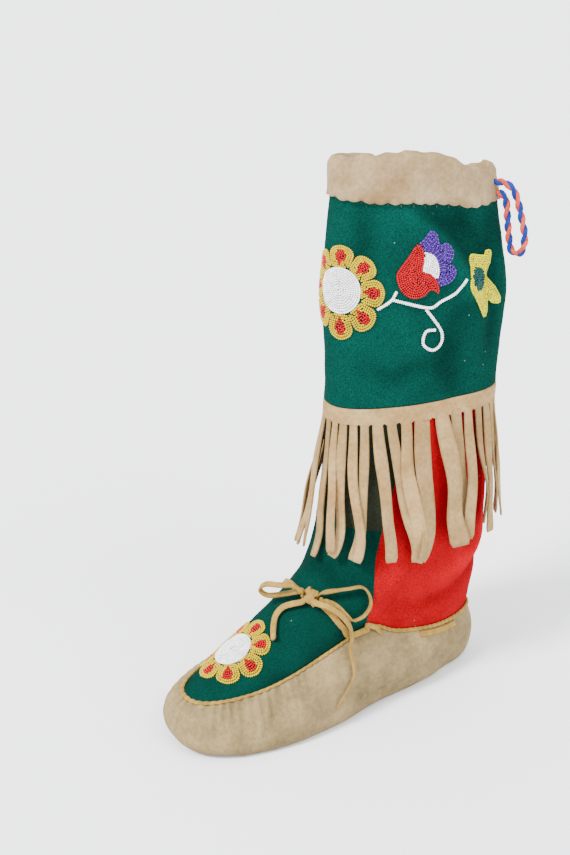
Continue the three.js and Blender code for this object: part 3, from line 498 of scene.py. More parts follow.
foot_levels = np.concatenate([np.linspace(0, 1, 11), np.linspace(1, 2, 45)[1:]])
outside, foot_shade_and_tone = [], []
for at in foot_levels:
    if at <= 1:
        outside.append(sole_point(foot_angles, at))
        # The sole a flat step darker.
        foot_shade_and_tone.append(np.full(FOOT_AROUND, 0.25))
        continue
    pucker = gathers(at)
    skin = form_point(foot_angles, np.full(FOOT_AROUND, min(at, 1.997)))
    out = form_normal(foot_angles, np.full(FOOT_AROUND, min(at, 1.99)))
    lumps = np.clip((at - 1.0) / 0.25, 0, 1) * np.clip((2 - at) / 0.1, 0, 1)
    lift = creased(skin, np.full(FOOT_AROUND, at)) + lumps * 0.9 * soft_noise(skin, 24, 1.7)
    skin = skin + out * (1.05 * pucker + lift)[:, None]
    skin[:, 2] = np.maximum(skin[:, 2], 0)
    outside.append(skin)
    # Darker towards the floor, within 14 mm of it.
    floor_darkening = 0.5 * np.clip((14 - skin[:, 2]) / 14, 0, 1)
    # Painted shade in the troughs of the puckers and creases.
    foot_shade_and_tone.append(np.clip(-0.32 * pucker, 0, 0.6) + np.clip(-0.12 * lift, 0, 0.3) + floor_darkening)
inside = []
for at in np.concatenate([np.linspace(2, 1, 9), np.linspace(1, 0, 4)[1:]]):
    if at <= 1:
        inside.append(sole_point(foot_angles, at) + (0, 0, HIDE))
    else:
        skin = form_point(foot_angles, np.full(FOOT_AROUND, min(at, 1.997)))
        inside.append(skin - form_normal(foot_angles, np.full(FOOT_AROUND, min(at, 1.99))) * (HIDE + 0.4))
foot_rings = outside + inside
hide_foot = piece_from(
    "moccasin_bottom_hide", np.concatenate(foot_rings),
    ring_faces(len(foot_rings), FOOT_AROUND, True), smoked_hide,
    # The inside rings a flat step darker.
    {"painted_shade_and_tone": np.concatenate(foot_shade_and_tone + [np.full(FOOT_AROUND, 0.4)] * len(inside))},
)
worn_as(hide_foot, ["moccasin_bottom"])

# The insole: one sheet of grey wool felt, cut to the flat of the sole. It lies loose on the hide
# and is pressed down a little under the heel and the ball of the foot.
FELT = 4.0


def wool_finish(name, colour, fuzz, lift=0.0004, panels=False):
    """Fulled wool cloth: matt fibre fuzz, painted highlight and shade on its folds, a few bits of lint."""
    finish = bpy.data.materials.new(name)
    finish.use_nodes = True
    tree = finish.node_tree
    shader = tree.nodes["Principled BSDF"]
    shader.inputs["Roughness"].default_value = 1.0
    shader.inputs["Specular IOR Level"].default_value = 0.02
    shader.inputs["Sheen Weight"].default_value = 0.01
    shader.inputs["Sheen Roughness"].default_value = 0.6
    shader.inputs["Sheen Tint"].default_value = (*[min(1, 2.0 * c + 0.05) for c in colour], 1)
    place = put(tree, "ShaderNodeTexCoord", (-9, 0))
    fuzzy = put(tree, "ShaderNodeGroup", (-7, 2), node_tree=nap)
    fuzzy.inputs["Fine"].default_value = 2300.0
    fuzzy.inputs["Coarse"].default_value = 900.0
    fuzzy.inputs["Lift"].default_value = lift
    cloth_colour = put(tree, "ShaderNodeRGB", (-7, 0))
    cloth_colour.outputs[0].default_value = (*colour, 1)
    held = cloth_colour.outputs[0]
    if panels:
        for mark, other, row in panels:
            side = put(tree, "ShaderNodeAttribute", (-7, row), attribute_name=mark)
            sharp = put(tree, "ShaderNodeMapRange", (-6, row), from_min=-0.15, from_max=0.15)
            pick = put(tree, "ShaderNodeMix", (-5, row), data_type="RGBA")
            pick.inputs["B"].default_value = (*other, 1)
            tree.links.new(side.outputs["Fac"], sharp.inputs["Value"])
            tree.links.new(sharp.outputs["Result"], pick.inputs["Factor"])
            tree.links.new(held, pick.inputs["A"])
            held = pick.outputs["Result"]
    flecks = put(tree, "ShaderNodeMapRange", (-4, 2), from_min=0.38, from_max=0.62,
                 to_min=1 - fuzz, to_max=1 + fuzz)
    cloudy = put(tree, "ShaderNodeTexNoise", (-7, 5), scale=26.0, detail=3.0)
    clouds = put(tree, "ShaderNodeMapRange", (-5, 5), from_min=0.3, from_max=0.7, to_min=0.82, to_max=1.18)
    flecked = put(tree, "ShaderNodeVectorMath", (-3, 1), operation="SCALE")
    clouded = put(tree, "ShaderNodeVectorMath", (-2, 1), operation="SCALE")
    # Painted light and shade: lighter on the ridges of the folds, darker in their troughs.
    fold = put(tree, "ShaderNodeAttribute", (-4, 4), attribute_name="fold")
    painted_fold_light = put(tree, "ShaderNodeMapRange", (-3, 4), from_min=-3.0, from_max=3.0, to_min=0.62, to_max=1.38)
    folded = put(tree, "ShaderNodeVectorMath", (-1, 0), operation="SCALE")
    lint = put(tree, "ShaderNodeTexVoronoi", (-7, 7), scale=135.0)
    small = put(tree, "ShaderNodeMapRange", (-5, 7), from_min=0.05, from_max=0.09, to_min=0.5, to_max=0.0)
    few = put(tree, "ShaderNodeSeparateColor", (-5, 9))
    some = put(tree, "ShaderNodeMath", (-4, 9), operation="GREATER_THAN")
    some.inputs[1].default_value = 0.86
    bits = put(tree, "ShaderNodeMath", (-3, 8), operation="MULTIPLY")
    linty = put(tree, "ShaderNodeMix", (-1, 2), data_type="RGBA")
    linty.inputs["B"].default_value = (0.22, 0.26, 0.24, 1)
    for source, target in (
        (place.outputs["Object"], fuzzy.inputs["Vector"]),
        (place.outputs["Object"], cloudy.inputs["Vector"]),
        (place.outputs["Object"], lint.inputs["Vector"]),
        (fuzzy.outputs["Fleck"], flecks.inputs["Value"]),
        (cloudy.outputs["Fac"], clouds.inputs["Value"]),
        (held, flecked.inputs[0]),
        (flecks.outputs["Result"], flecked.inputs["Scale"]),
        (flecked.outputs[0], clouded.inputs[0]),
        (clouds.outputs["Result"], clouded.inputs["Scale"]),
        (clouded.outputs[0], folded.inputs[0]),
        (fold.outputs["Fac"], painted_fold_light.inputs["Value"]),
        (painted_fold_light.outputs["Result"], folded.inputs["Scale"]),
        (lint.outputs["Distance"], small.inputs["Value"]),
        (lint.outputs["Color"], few.inputs["Color"]),
        (few.outputs["Red"], some.inputs[0]),
        (small.outputs["Result"], bits.inputs[0]),
        (some.outputs[0], bits.inputs[1]),
        (bits.outputs[0], linty.inputs["Factor"]),
        (folded.outputs[0], linty.inputs["A"]),
        (linty.outputs["Result"], shader.inputs["Base Color"]),
        (fuzzy.outputs["Normal"], shader.inputs["Normal"]),
    ):
        tree.links.new(source, target)
    return finish


felt = wool_finish("grey_felt", (0.075, 0.072, 0.060), 0.5)
insole_levels = np.linspace(0, 1 - 2 / (BALL_WIDTH / 2), 16)
insole_rings = [sole_point(foot_angles, at) + (0, 0, HIDE + CLEAR) for at in insole_levels]
for share in (0.25, 0.75):
    edge = insole_levels[-1] + 0.006
    insole_rings.append(sole_point(foot_angles, edge) + (0, 0, HIDE + CLEAR + share * FELT))
for at in insole_levels[::-1]:
    top = sole_point(foot_angles, at)
    worn = -0.5 * np.exp(-((top[:, 1] + 5) / 28) ** 2) - 0.4 * np.exp(-((top[:, 1] + 160) / 30) ** 2)
    insole_rings.append(top + np.stack([0 * worn, 0 * worn, HIDE + CLEAR + FELT + worn * (1 - at)], -1))
insole = piece_from(
    "insole_felt", np.concatenate(insole_rings),
    ring_faces(len(insole_rings), FOOT_AROUND, True), felt,
)
worn_as(insole, ["insole"])

# The upper: fulled wool over a wool lining. The vamp and front of the ankle are green, the heel
# and sides red and the leg under the fringe grey, seamed together edge to edge.
CLOTH = 2.6
GREEN, RED, GREY = (0.0005, 0.0260, 0.0185), (0.265, 0.0007, 0.0045), (0.0185, 0.0215, 0.0125)
SIDE_SEAM = [  # where green meets red on each side
    dict(height=40, back=-93),
    dict(height=68, back=-91),
    dict(height=115, back=-85),
    dict(height=152, back=-74),
    dict(height=225, back=-50),
    dict(height=260, back=-46),
]
GREY_FROM = 152
green_wool = wool_finish(
    "green_red_grey_wool", GREEN, 0.34,
    panels=[("above", GREY, 1), ("behind", RED, -1)],
)
UPPER_AROUND = 384
upper_angles = np.linspace(0, TURN, UPPER_AROUND, endpoint=False)
upper_levels = np.concatenate([[2.0006], np.linspace(2.01, 3, 62), np.linspace(3, 4, 72)[1:]])
rings, behind, above, folds = [], [], [], []
for at in upper_levels:
    plain = form_point(upper_angles, np.full(UPPER_AROUND, at))
    line = column(SIDE_SEAM, "height", "back", plain[:, 2])
    wobble = 0.5 * soft_noise(plain, 9, 7.7)
    back = plain[:, 1] - line + wobble
    over = plain[:, 2] - GREY_FROM + 0.25 * plain[:, 0] + wobble
    front = back < 0
    groove = -0.55 * np.exp(-((back / 1.1) ** 2)) - 0.5 * np.exp(-((over / 1.1) ** 2)) * front
    rings.append(laid(upper_angles, at, groove))
    behind.append(back)
    above.append(over)
    # The crease lift, which the wool paints as light on ridges and shade in troughs.
    folds.append(0.8 * creased(plain, at))
inner = np.concatenate([np.linspace(4, 3, 12), np.linspace(3, 2.0006, 12)[1:]])
for at in inner:
    rings.append(laid(upper_angles, at, -CLOTH))
    behind.append(np.full(UPPER_AROUND, -9.0))
    above.append(np.full(UPPER_AROUND, 9.0))
    folds.append(np.zeros(UPPER_AROUND))
upper = piece_from(
    "upper_wool", np.concatenate(rings), ring_faces(len(rings), UPPER_AROUND, True), green_wool,
    {"behind": np.concatenate(behind), "above": np.concatenate(above), "fold": np.concatenate(folds)},
)
worn_as(upper, ["upper"])

# The welt: a narrow strip of lace hide, folded once along its length and sewn into the seam of
# hide and wool, all round the foot.
WELT_WIDTH = 3.6
WELT_RISE = 1.9
lace_hide = hide_finish(
    "lace_hide", (0.330, 0.203, 0.042), (0.225, 0.130, 0.026), (0.14, 0.076, 0.017), rough=0.7, patches=70.0,
)
WELT_AROUND = 640
welt_angles = np.linspace(0, TURN, WELT_AROUND, endpoint=False)


def from_seam(angle, distance):
    """The level a way below (negative) or above the seam, in millimetres over the surface."""
    step = 0.02 * np.sign(distance)
    stretch = np.linalg.norm(form_point(angle, 2 + step) - seam_point(angle), axis=-1)
    return 2 + step * np.abs(distance) / stretch


welt_line = seam_point(welt_angles)
welt_run = np.cumsum(np.linalg.norm(np.roll(welt_line, -1, 0) - welt_line, axis=1))
pulled = np.abs(np.sin(np.pi * welt_run / 5.2 + 0.6 * soft_noise(welt_line, 20, 2.0)))
welt_rings, welt_painted_shade = [], []
for turn in np.linspace(0, TURN, 14, endpoint=False):
    wide = -math.cos(turn)
    tall = math.sin(turn)
    across = wide * WELT_WIDTH / 2 * (0.82 + 0.3 * pulled)
    height = 0.55 + (tall if tall > 0 else 0.25 * tall) * WELT_RISE * (0.72 + 0.28 * pulled)
    angle_levels = from_seam(welt_angles, np.where(np.abs(across) < 0.05, 0.05, across))
    place = form_point(welt_angles, angle_levels)
    out = unit(form_normal(welt_angles, np.full(WELT_AROUND, 1.985))
               + form_normal(welt_angles, np.full(WELT_AROUND, 2.015)))
    welt_rings.append(place + out * height[:, None])
    # Painted shade: darker in the dips between the stitches' pulls and on the welt's lower half, against the
    # cloth.
    welt_painted_shade.append(np.clip(0.35 * (1 - pulled) + (0.45 if tall < 0.3 else 0.0), 0, 1))
welt = piece_from(
    "seam_welt_hide", np.concatenate(welt_rings),
    ring_faces(len(welt_rings), WELT_AROUND, True), lace_hide, {"painted_shade_and_tone": np.concatenate(welt_painted_shade)},
)
worn_as(welt, ["seam_welt"])

# The beaded band: one more layer of green wool round the shaft, hemmed at the fringe and sewn
# under the casing at the top.
FRINGE_LINE = 238
CASING_DEPTH = 20
CASING_LAP = 5
CUFF_CLOTH = 2.0
CUFF_FACE = CLEAR + CUFF_CLOTH


def level_at(height):
    return 3 + (height - ANKLE_HEIGHT) / (RIM_HEIGHT - ANKLE_HEIGHT)


band_wool = wool_finish("green_band_wool", (0.0007, 0.0345, 0.0250), 0.46)
band_foot, band_top = level_at(FRINGE_LINE), level_at(RIM_HEIGHT - CASING_DEPTH + CASING_LAP)
band_rows = [(band_foot + 0.003, CLEAR), (band_foot, 0.5 * CUFF_FACE), (band_foot + 0.001, 0.85 * CUFF_FACE)]
band_rows += [(at, CUFF_FACE) for at in np.linspace(band_foot + 0.004, band_top, 76)]
band_rows += [(at, CLEAR) for at in np.linspace(band_top, band_foot + 0.02, 12)]
band = piece_from(
    "beaded_band_wool",
    np.concatenate([laid(upper_angles, at, offset) for at, offset in band_rows]),
    ring_faces(len(band_rows), UPPER_AROUND, True), band_wool,
    # The crease lift, painted as light on ridges and shade in troughs.
    {"fold": np.concatenate([creased(form_point(upper_angles, at), at) for at, _ in band_rows])},
)
worn_as(band, ["beaded_band"])

# The casing: a strip of smoked hide, folded over the rim as a tunnel for the drawstring. Its lower
# edge is whipped down on the band, which draws it into small scallops.
casing_hide = hide_finish(
    "casing_hide", (0.325, 0.240, 0.132), (0.222, 0.146, 0.068), (0.185, 0.088, 0.030), patches=42.0,
)
CASING_AROUND = 560
SCALLOP = 9.0  # between stitches of its lower edge
SLUMP = 0.016  # how much higher its crown stands on the wearer's left, in levels
casing_angles = np.linspace(0, TURN, CASING_AROUND, endpoint=False)
rim_line = form_point(casing_angles, 3.9)
rim_run = np.cumsum(np.linalg.norm(np.roll(rim_line, -1, 0) - rim_line, axis=1))
rim_girth = rim_run[-1]
stitch_count = round(rim_girth / SCALLOP)
scallop = np.abs(np.sin(np.pi * stitch_count * rim_run / rim_girth))
lapped = CUFF_FACE + CLEAR
casing_foot = level_at(RIM_HEIGHT - CASING_DEPTH)
inner_foot = level_at(RIM_HEIGHT - CASING_DEPTH + CASING_LAP + CLEAR)
rim = level_at(RIM_HEIGHT + CLEAR)
crown = level_at(RIM_HEIGHT + CLEAR + HIDE)
casing_inner = -CLOTH - CLEAR
casing_rows = [  # level, offset, how much of the scallops and of the gathers it shows
    (casing_foot, lapped, 1.0, 0.0),
    (casing_foot, lapped + 0.6 * HIDE, 1.0, 0.0),
    (casing_foot + 0.002, lapped + HIDE, 1.0, 0.1),
]
casing_rows += [
    (at, lapped + HIDE, max(0.0, 1 - 9 * share), 0.1 + 0.9 * share)
    for share, at in zip(np.linspace(0.08, 1, 22), np.linspace(casing_foot + 0.008, 3.992, 22))
]
casing_rows += [
    (4.0, lapped + 0.9 * HIDE, 0, 1), (rim + 0.001, lapped + 0.55 * HIDE, 0, 1),
    (crown - 0.001, lapped * 0.75, 0, 1), (crown, 0.2, 0, 1),
    (crown, casing_inner * 0.6, 0, 1), (rim + 0.001, casing_inner - 0.6 * HIDE, 0, 1),
]
casing_rows += [(at, casing_inner - HIDE, 0, 0.6) for at in np.linspace(4.0, inner_foot, 8)]
casing_rows += [(inner_foot, casing_inner, 0, 0), (rim, casing_inner, 0, 1), (rim, CLEAR, 0, 1),
                (inner_foot, CLEAR, 0, 0), (inner_foot, lapped, 0, 0)]
rings, dark = [], []
gather = 0.7 * np.array([noise.noise(Vector((s / 14, 5.1, 0))) for s in rim_run])
gather += np.array([noise.noise(Vector((s / 31, 8.2, 0))) for s in rim_run])
slump = SLUMP * np.maximum(0, np.sin(casing_angles))
gather = np.minimum(gather, 0.35) * np.where(np.sin(casing_angles) < 0, 0.5, 1.0)
place_round = np.arange(CASING_AROUND)
gather *= np.clip(np.minimum(place_round, CASING_AROUND - 1 - place_round) / 14, 0, 1)
for at, offset, edge, slack in casing_rows:
    top = max(0, min(1, (at - 3.9) / 0.1))
    level = at + edge * (0.0010 - 0.0042 * scallop + 0.0075 * gather) + top * (0.011 * gather + slump)
    out = offset + 0.8 * slack * gather * (offset > 0) + edge * 0.5 * scallop
    rings.append(laid(casing_angles, level, out))
    # Painted shade: darker in the troughs of the gathers, where the stitches pull the lower edge in, and on
    # the inside face.
    dark.append(np.clip(-0.35 * slack * gather, 0, 0.4) + 0.35 * edge * (1 - scallop) + 0.3 * (offset < 0))
casing = piece_from(
    "rim_casing_hide", np.concatenate(rings), ring_faces(len(rings), CASING_AROUND, True), casing_hide,
    {"painted_shade_and_tone": np.concatenate(dark)},
)
worn_as(casing, ["rim_casing"])

# The fringe: one strip of soft hide, sewn round the leg under the band's edge and cut into hanging
# thongs. Each one curls and leans as it likes.
FRINGE_BAND = 13
FRINGE_LENGTH = 114
FRINGE_STRIPS = 36
FRINGE_SEAT = 0.8
FRINGE_SWAY = [0.0, 0.55, -0.4, 0.2, -0.75, 0.35, 0.9, -0.2, -0.6, 0.65, 0.1, -0.9, 0.45]
STRIP_WIDTH = 0.98
fringe_hide = hide_finish(
    "fringe_hide", (0.365, 0.245, 0.108), (0.262, 0.160, 0.062), (0.305, 0.152, 0.045), patches=45.0,
)
fringe_top = level_at(FRINGE_LINE - CLEAR)
fringe_foot = level_at(FRINGE_LINE - CLEAR - FRINGE_BAND)
fringe_rows = [(at, FRINGE_SEAT + HIDE) for at in np.linspace(fringe_foot, fringe_top - 0.004, 8)]
fringe_rows += [(fringe_top, FRINGE_SEAT + 0.7 * HIDE), (fringe_top, FRINGE_SEAT)]
fringe_rows += [(fringe_foot, FRINGE_SEAT)]
strip_angle = (np.arange(UPPER_AROUND) / UPPER_AROUND * FRINGE_STRIPS) % 1
notch = np.exp(-(((np.abs(strip_angle - 0.5) - 0.5) / 0.09) ** 2))
points, faces, dark = [], [], []
for at, offset in fringe_rows:
    low = at == fringe_foot
    points.append(laid(upper_angles, at + (0.006 * notch if low else 0), offset))
    # Painted shade in the notches between the strips along the band's lower edge; a flat tone elsewhere.
    dark.append(0.5 * notch if low else 0.06 * np.ones(UPPER_AROUND))
faces += ring_faces(len(fringe_rows), UPPER_AROUND, True)


def strap(path, across, out, width, thick, sections=12, dark_edge=0.35):
    """A flat thong of hide along a path, with rounded edges and closed ends."""
    turns = np.linspace(0, TURN, sections, endpoint=False)
    c, s = super_oval(turns, 4.5)
    shrink = np.ones(len(path))
    shrink[0] = shrink[-1] = 0.8
    width, thick = np.broadcast_to(width, len(path)), np.broadcast_to(thick, len(path))
    points = path[:, None] + across[:, None] * (c[None] * (width * shrink)[:, None] / 2)[..., None]
    points = points + out[:, None] * (s[None] * (thick * shrink)[:, None] / 2)[..., None]
    faces = ring_faces(len(path), sections, False)
    ends = [tuple(range(sections)), tuple(range((len(path) - 1) * sections, len(path) * sections))]
    marks = np.tile(dark_edge * (np.abs(c) > 0.9), (len(path), 1))
    return points.reshape(-1, 3), faces + ends, marks.ravel()


pitch = TURN / FRINGE_STRIPS
for k in range(FRINGE_STRIPS):
    habits = ((1, 0), (5, 3), (7, 5), (4, 9))
    sway, lean, curl, roll = (FRINGE_SWAY[(k * step + start) % 13] for step, start in habits)
    length = FRINGE_LENGTH * (1 + 0.06 * FRINGE_SWAY[(k * 3 + 1) % 13])
    down = np.linspace(0, 1, 30)
    drop = FRINGE_BAND * 0.7 + (length - FRINGE_BAND * 0.7) * down
    wave = 0.40 * roll * np.sin(np.pi * (1.7 * down + 0.4 * curl)) + 0.10 * np.sin(9 * down + 5 * lean)
    wave = wave * down
    turn = (k + 0.5) * pitch + pitch * (1.05 * sway * down**1.2 + wave)
    level = np.full(30, fringe_top)
    step = 0.004
    ladder = fringe_top - step * np.arange(260)
    rung = form_point(np.full(260, turn.mean()), ladder)
    climbed = np.concatenate([[0], np.cumsum(np.linalg.norm(np.diff(rung, axis=0), axis=1))])
    level = np.interp(drop, climbed, ladder)
    twist = np.radians(36 * lean * np.sin(0.5 * np.pi * down) ** 1.5 + 16 * roll * np.sin(np.pi * 2.2 * down))
    half = np.linalg.norm(form_point((k + 1) * pitch, fringe_top) - form_point(k * pitch, fringe_top)) / 2
    waist = 1 - (0.10 + 0.08 * roll) * np.sin(np.pi * down) + 0.05 * curl * np.sin(7 * down)
    width = 2 * half * STRIP_WIDTH * waist
    width *= (0.76 + 0.32 * np.clip(down / 0.3, 0, 1)) * (1 + 0.16 * curl)
    lift = FRINGE_SEAT + 0.95 + (3.6 + 4.4 * (k % 2) + 3.4 * abs(sway)) * np.sin(0.5 * np.pi * down) ** 1.3
    tip = np.clip(down - 0.6, 0, 1) ** 2
    lift = lift + 0.42 * width * np.abs(np.sin(twist)) + 12 * max(curl, 0) * tip
    lift = lift + (1.3 * np.sin(3.2 * np.pi * down + 3 * roll)) * down * (1 - 0.3 * down)
    base = form_point(turn, level)
    out = form_normal(turn, level)
    path = base + out * lift[:, None]
    way = unit(np.gradient(path, axis=0))
    side = unit(np.cross(out, way))
    flat = unit(np.cross(way, side))
    across = side * np.cos(twist)[:, None] + flat * np.sin(twist)[:, None]
    facing = np.cross(way, across)
    strip_points, strip_faces, strip_dark = strap(path, across, facing, width, HIDE)
    start = sum(len(p) for p in points)
    points.append(strip_points)
    faces += [tuple(start + i for i in face) for face in strip_faces]
    # Painted shade on the strips that hang behind, most near the band; each strip's edges darker and its own
    # tone.
    dark.append(strip_dark + 0.10 + 0.14 * roll + 0.20 * (k % 2 == 0) * np.repeat(1 - down, 12))
fringe = piece_from(
    "fringe_strips", np.concatenate(points), faces, fringe_hide, {"painted_shade_and_tone": np.concatenate(dark)},
)
worn_as(fringe, ["fringe"])

# Beadwork: glass seed beads, sewn down in rows that follow each petal and stem, on the vamp and
# on the band. Outlines are in millimetres round and up from the band's flower.
FLOWER_ROUND = 18
FLOWER_UP = 80
CUFF_FLOWER = 33
VAMP_FLOWER = 31
VAMP_MIDDLE = dict(turn=-0.13, level=2.25)
VAMP_CURVE = 40
BEAD_WIDE = 1.72
BEAD_LONG = 1.42
TULIP_CUP = [
    (56, 39), (61, 35), (62, 26), (61, 18), (67, 16), (72, 11), (74, 3), (72, 1), (70, 3), (66, 3),
    (62, -1), (55, -3), (48, -1), (43, 5), (41, 14), (44, 20), (50, 29),
]
TULIP_HEART = [(61, 18), (67, 16), (72, 12), (74, 19), (72, 27), (68, 32), (61, 33), (62, 26)]
TULIP_CROWN = [
    (57, 39), (61, 44), (66, 50), (72, 48), (74, 40), (80, 41), (85, 35), (83, 27), (80, 24), (84, 24),
    (87, 18), (84, 11), (79, 8), (74, 7), (72, 13), (74, 20), (72, 27), (68, 32), (61, 33),
]
BLOOM = [
    (98, 12), (98, 5), (101, 0), (108, -9), (112, -17), (115, -18), (118, -12), (119, -5),
    (125, -8), (132, -8), (132, -3), (125, 8), (120, 15), (124, 25), (125, 33), (119, 33),
    (117, 30), (105, 31), (102, 28), (101, 21),
]
BLOOM_EYE = dict(middle=(109.6, 11.8), wide=8.4, tall=8.8)
STEM = [(28, -11), (33, -8), (38, -4), (41, 1.5)]
VINE = [(38, -4), (52, -7), (62, -9), (69, -9), (75, -5), (86, 1), (91, 7), (94.6, 12.6)]
CURL = [(62, -9), (69, -17), (77, -28), (77, -37), (70, -41), (62, -36), (64, -27), (71, -26)]
BEAD_YELLOW, BEAD_RED, BEAD_WHITE = (0.46, 0.325, 0.0), (0.34, 0.0002, 0.005), (0.84, 0.84, 0.84)
BEAD_LILAC = (0.085, 0.042, 0.25)
BEAD_PURPLE, BEAD_TEAL, BEAD_LEMON = (0.046, 0.005, 0.165), (0.002, 0.06, 0.05), (0.54, 0.50, 0.0)


def smooth_line(corners, spacing, closed):
    """Even points along a smooth line through corners."""
    corners = np.asarray(corners, float)
    count = len(corners)
    if closed:
        corners = np.concatenate([corners[-1:], corners, corners[:2]])
    else:
        corners = np.concatenate([[2 * corners[0] - corners[1]], corners, [2 * corners[-1] - corners[-2]]])
    run = []
    for i in range(1, count + (1 if closed else 0)):
        a, b, c, d = corners[i - 1:i + 3]
        t = np.linspace(0, 1, 24, endpoint=False)[:, None]
        run.append(0.5 * (2 * b + (c - a) * t + (2 * a - 5 * b + 4 * c - d) * t**2
                          + (3 * b - a - 3 * c + d) * t**3))
    line = np.concatenate(run + ([] if closed else [corners[-2:-1]]))
    if closed:
        line = np.concatenate([line, line[:1]])
    along = np.concatenate([[0], np.cumsum(np.linalg.norm(np.diff(line, axis=0), axis=1))])
    even = np.linspace(0, along[-1], max(4, int(round(along[-1] / spacing)) + 1))
    return np.stack([np.interp(even, along, line[:, i]) for i in range(line.shape[1])], -1)


def within(points, outline):
    """Whether points lie within an outline."""
    x, y = points[:, 0], points[:, 1]
    inside = np.zeros(len(points), bool)
    for (x0, y0), (x1, y1) in zip(outline, np.roll(outline, -1, axis=0)):
        crosses = (y0 > y) != (y1 > y)
        inside ^= crosses & (x < (x1 - x0) * (y - y0) / (y1 - y0 + 1e-12) + x0)
    return inside


def beads_in(outline, rows=99):
    """Places and ways of beads that fill an outline in rows along its edge."""
    edge = np.asarray(outline, float)[:-1]
    way = unit(np.roll(edge, -1, 0) - np.roll(edge, 1, 0))
    inward = np.stack([-way[:, 1], way[:, 0]], -1)
    tried = (edge + inward * 0.3)[[0, 9]]
    if not within(tried, edge).any():
        inward = -inward
    kept, ways = np.zeros((0, 2)), np.zeros((0, 2))
    for row in range(rows):
        deep = BEAD_WIDE * (row + 0.5)
        line = edge + inward * deep
        apart = np.linalg.norm(line[:, None] - edge[None], axis=-1).min(axis=1)
        good = (apart > deep - 0.12) & within(line, edge)
        if not good.any():
            break
        for place, along in zip(line[good], way[good]):
            near = np.abs(kept - place)
            near = kept[(near[:, 0] < BEAD_WIDE) & (near[:, 1] < BEAD_WIDE)] if len(kept) else kept
            if len(near) == 0 or np.linalg.norm(near - place, axis=1).min() > BEAD_LONG:
                kept, ways = np.vstack([kept, place]), np.vstack([ways, along])
    low, high = edge.min(axis=0), edge.max(axis=0)
    grid = np.stack(np.meshgrid(np.arange(low[0], high[0], 0.35), np.arange(low[1], high[1], 0.35)), -1)
    grid = grid.reshape(-1, 2)
    grid = grid[within(grid, edge)]
    for place in grid[np.linalg.norm(grid[:, None] - edge[None], axis=-1).min(axis=1) > 0.44 * BEAD_WIDE]:
        apart = np.linalg.norm(kept - place, axis=1)
        if apart.min() > 0.88 * BEAD_LONG:
            kept, ways = np.vstack([kept, place]), np.vstack([ways, ways[apart.argmin()]])
    return kept, ways


def beads_along(line):
    """Beads in one row along a line."""
    even = smooth_line(line, BEAD_LONG, False)
    return even, unit(np.gradient(even, axis=0))


def flower_beads(radius):
    """Beads of an eight-petalled flower: a white disc and yellow petals with red hearts."""
    places, ways, colours = [], [], []
    disc = 0.485 * radius
    for ring in np.arange(disc - BEAD_WIDE / 2, 0, -BEAD_WIDE):
        count = max(1, round(TURN * ring / BEAD_LONG))
        turns = np.arange(count) * TURN / count
        places.append(ring * np.stack([np.cos(turns), np.sin(turns)], -1))
        ways.append(np.stack([-np.sin(turns), np.cos(turns)], -1))
        colours += [BEAD_WHITE] * count
    petal = [(0.50, -0.195), (0.66, -0.262), (0.80, -0.290), (0.93, -0.21), (1.0, 0.0),
             (0.93, 0.21), (0.80, 0.290), (0.66, 0.262), (0.50, 0.195), (0.485, 0.0)]
    heart = np.array([(0.53, 0.0), (0.63, -0.06), (0.75, -0.115), (0.85, -0.09), (0.88, 0.0),
                      (0.85, 0.09), (0.75, 0.115), (0.63, 0.06)]) * radius
    beads, rows = beads_in(smooth_line(np.array(petal) * radius, 0.2, True))
    tints = [BEAD_RED if red else BEAD_YELLOW for red in within(beads, smooth_line(heart, 0.5, True))]
    for k in range(8):
        c, s = math.cos(k * TURN / 8), math.sin(k * TURN / 8)
        turned = np.array([[c, s], [-s, c]])
        places.append(beads @ turned)
        ways.append(rows @ turned)
        colours += tints
    return np.concatenate(places), np.concatenate(ways), colours


def thinned(places, ways, colours):
    """Leaves out the beads that would lie in beads before them."""
    kept = []
    for i, place in enumerate(places):
        near = places[kept]
        if not len(kept) or np.linalg.norm(near - place, axis=1).min() > 0.82 * BEAD_LONG:
            kept.append(i)
    return places[kept], ways[kept], [colours[i] for i in kept]


ruler_marks = np.linspace(0, math.pi, 361)
ruler_level = level_at((FRINGE_LINE + RIM_HEIGHT - CASING_DEPTH) / 2)
ruler_line = form_point(ruler_marks, ruler_level) + form_normal(ruler_marks, ruler_level) * CUFF_FACE
ruler_run = np.concatenate([[0], np.cumsum(np.linalg.norm(np.diff(ruler_line, axis=0), axis=1))])


def on_cuff(places):
    """Angle and level of chart places on the band."""
    away = FLOWER_ROUND + places[:, 0]
    girth = 2 * ruler_run[-1]
    away = away - girth * np.round(away / girth)
    turn = np.sign(away) * np.interp(np.abs(away), ruler_run, ruler_marks)
    return turn, level_at(FRINGE_LINE + FLOWER_UP + places[:, 1])


vamp_middle = form_point(VAMP_MIDDLE["turn"], VAMP_MIDDLE["level"])
vamp_out = form_normal(VAMP_MIDDLE["turn"], VAMP_MIDDLE["level"])
vamp_across = unit(np.array([1, 0, 0]) - vamp_out * vamp_out[0])
vamp_up = np.cross(vamp_out, vamp_across)


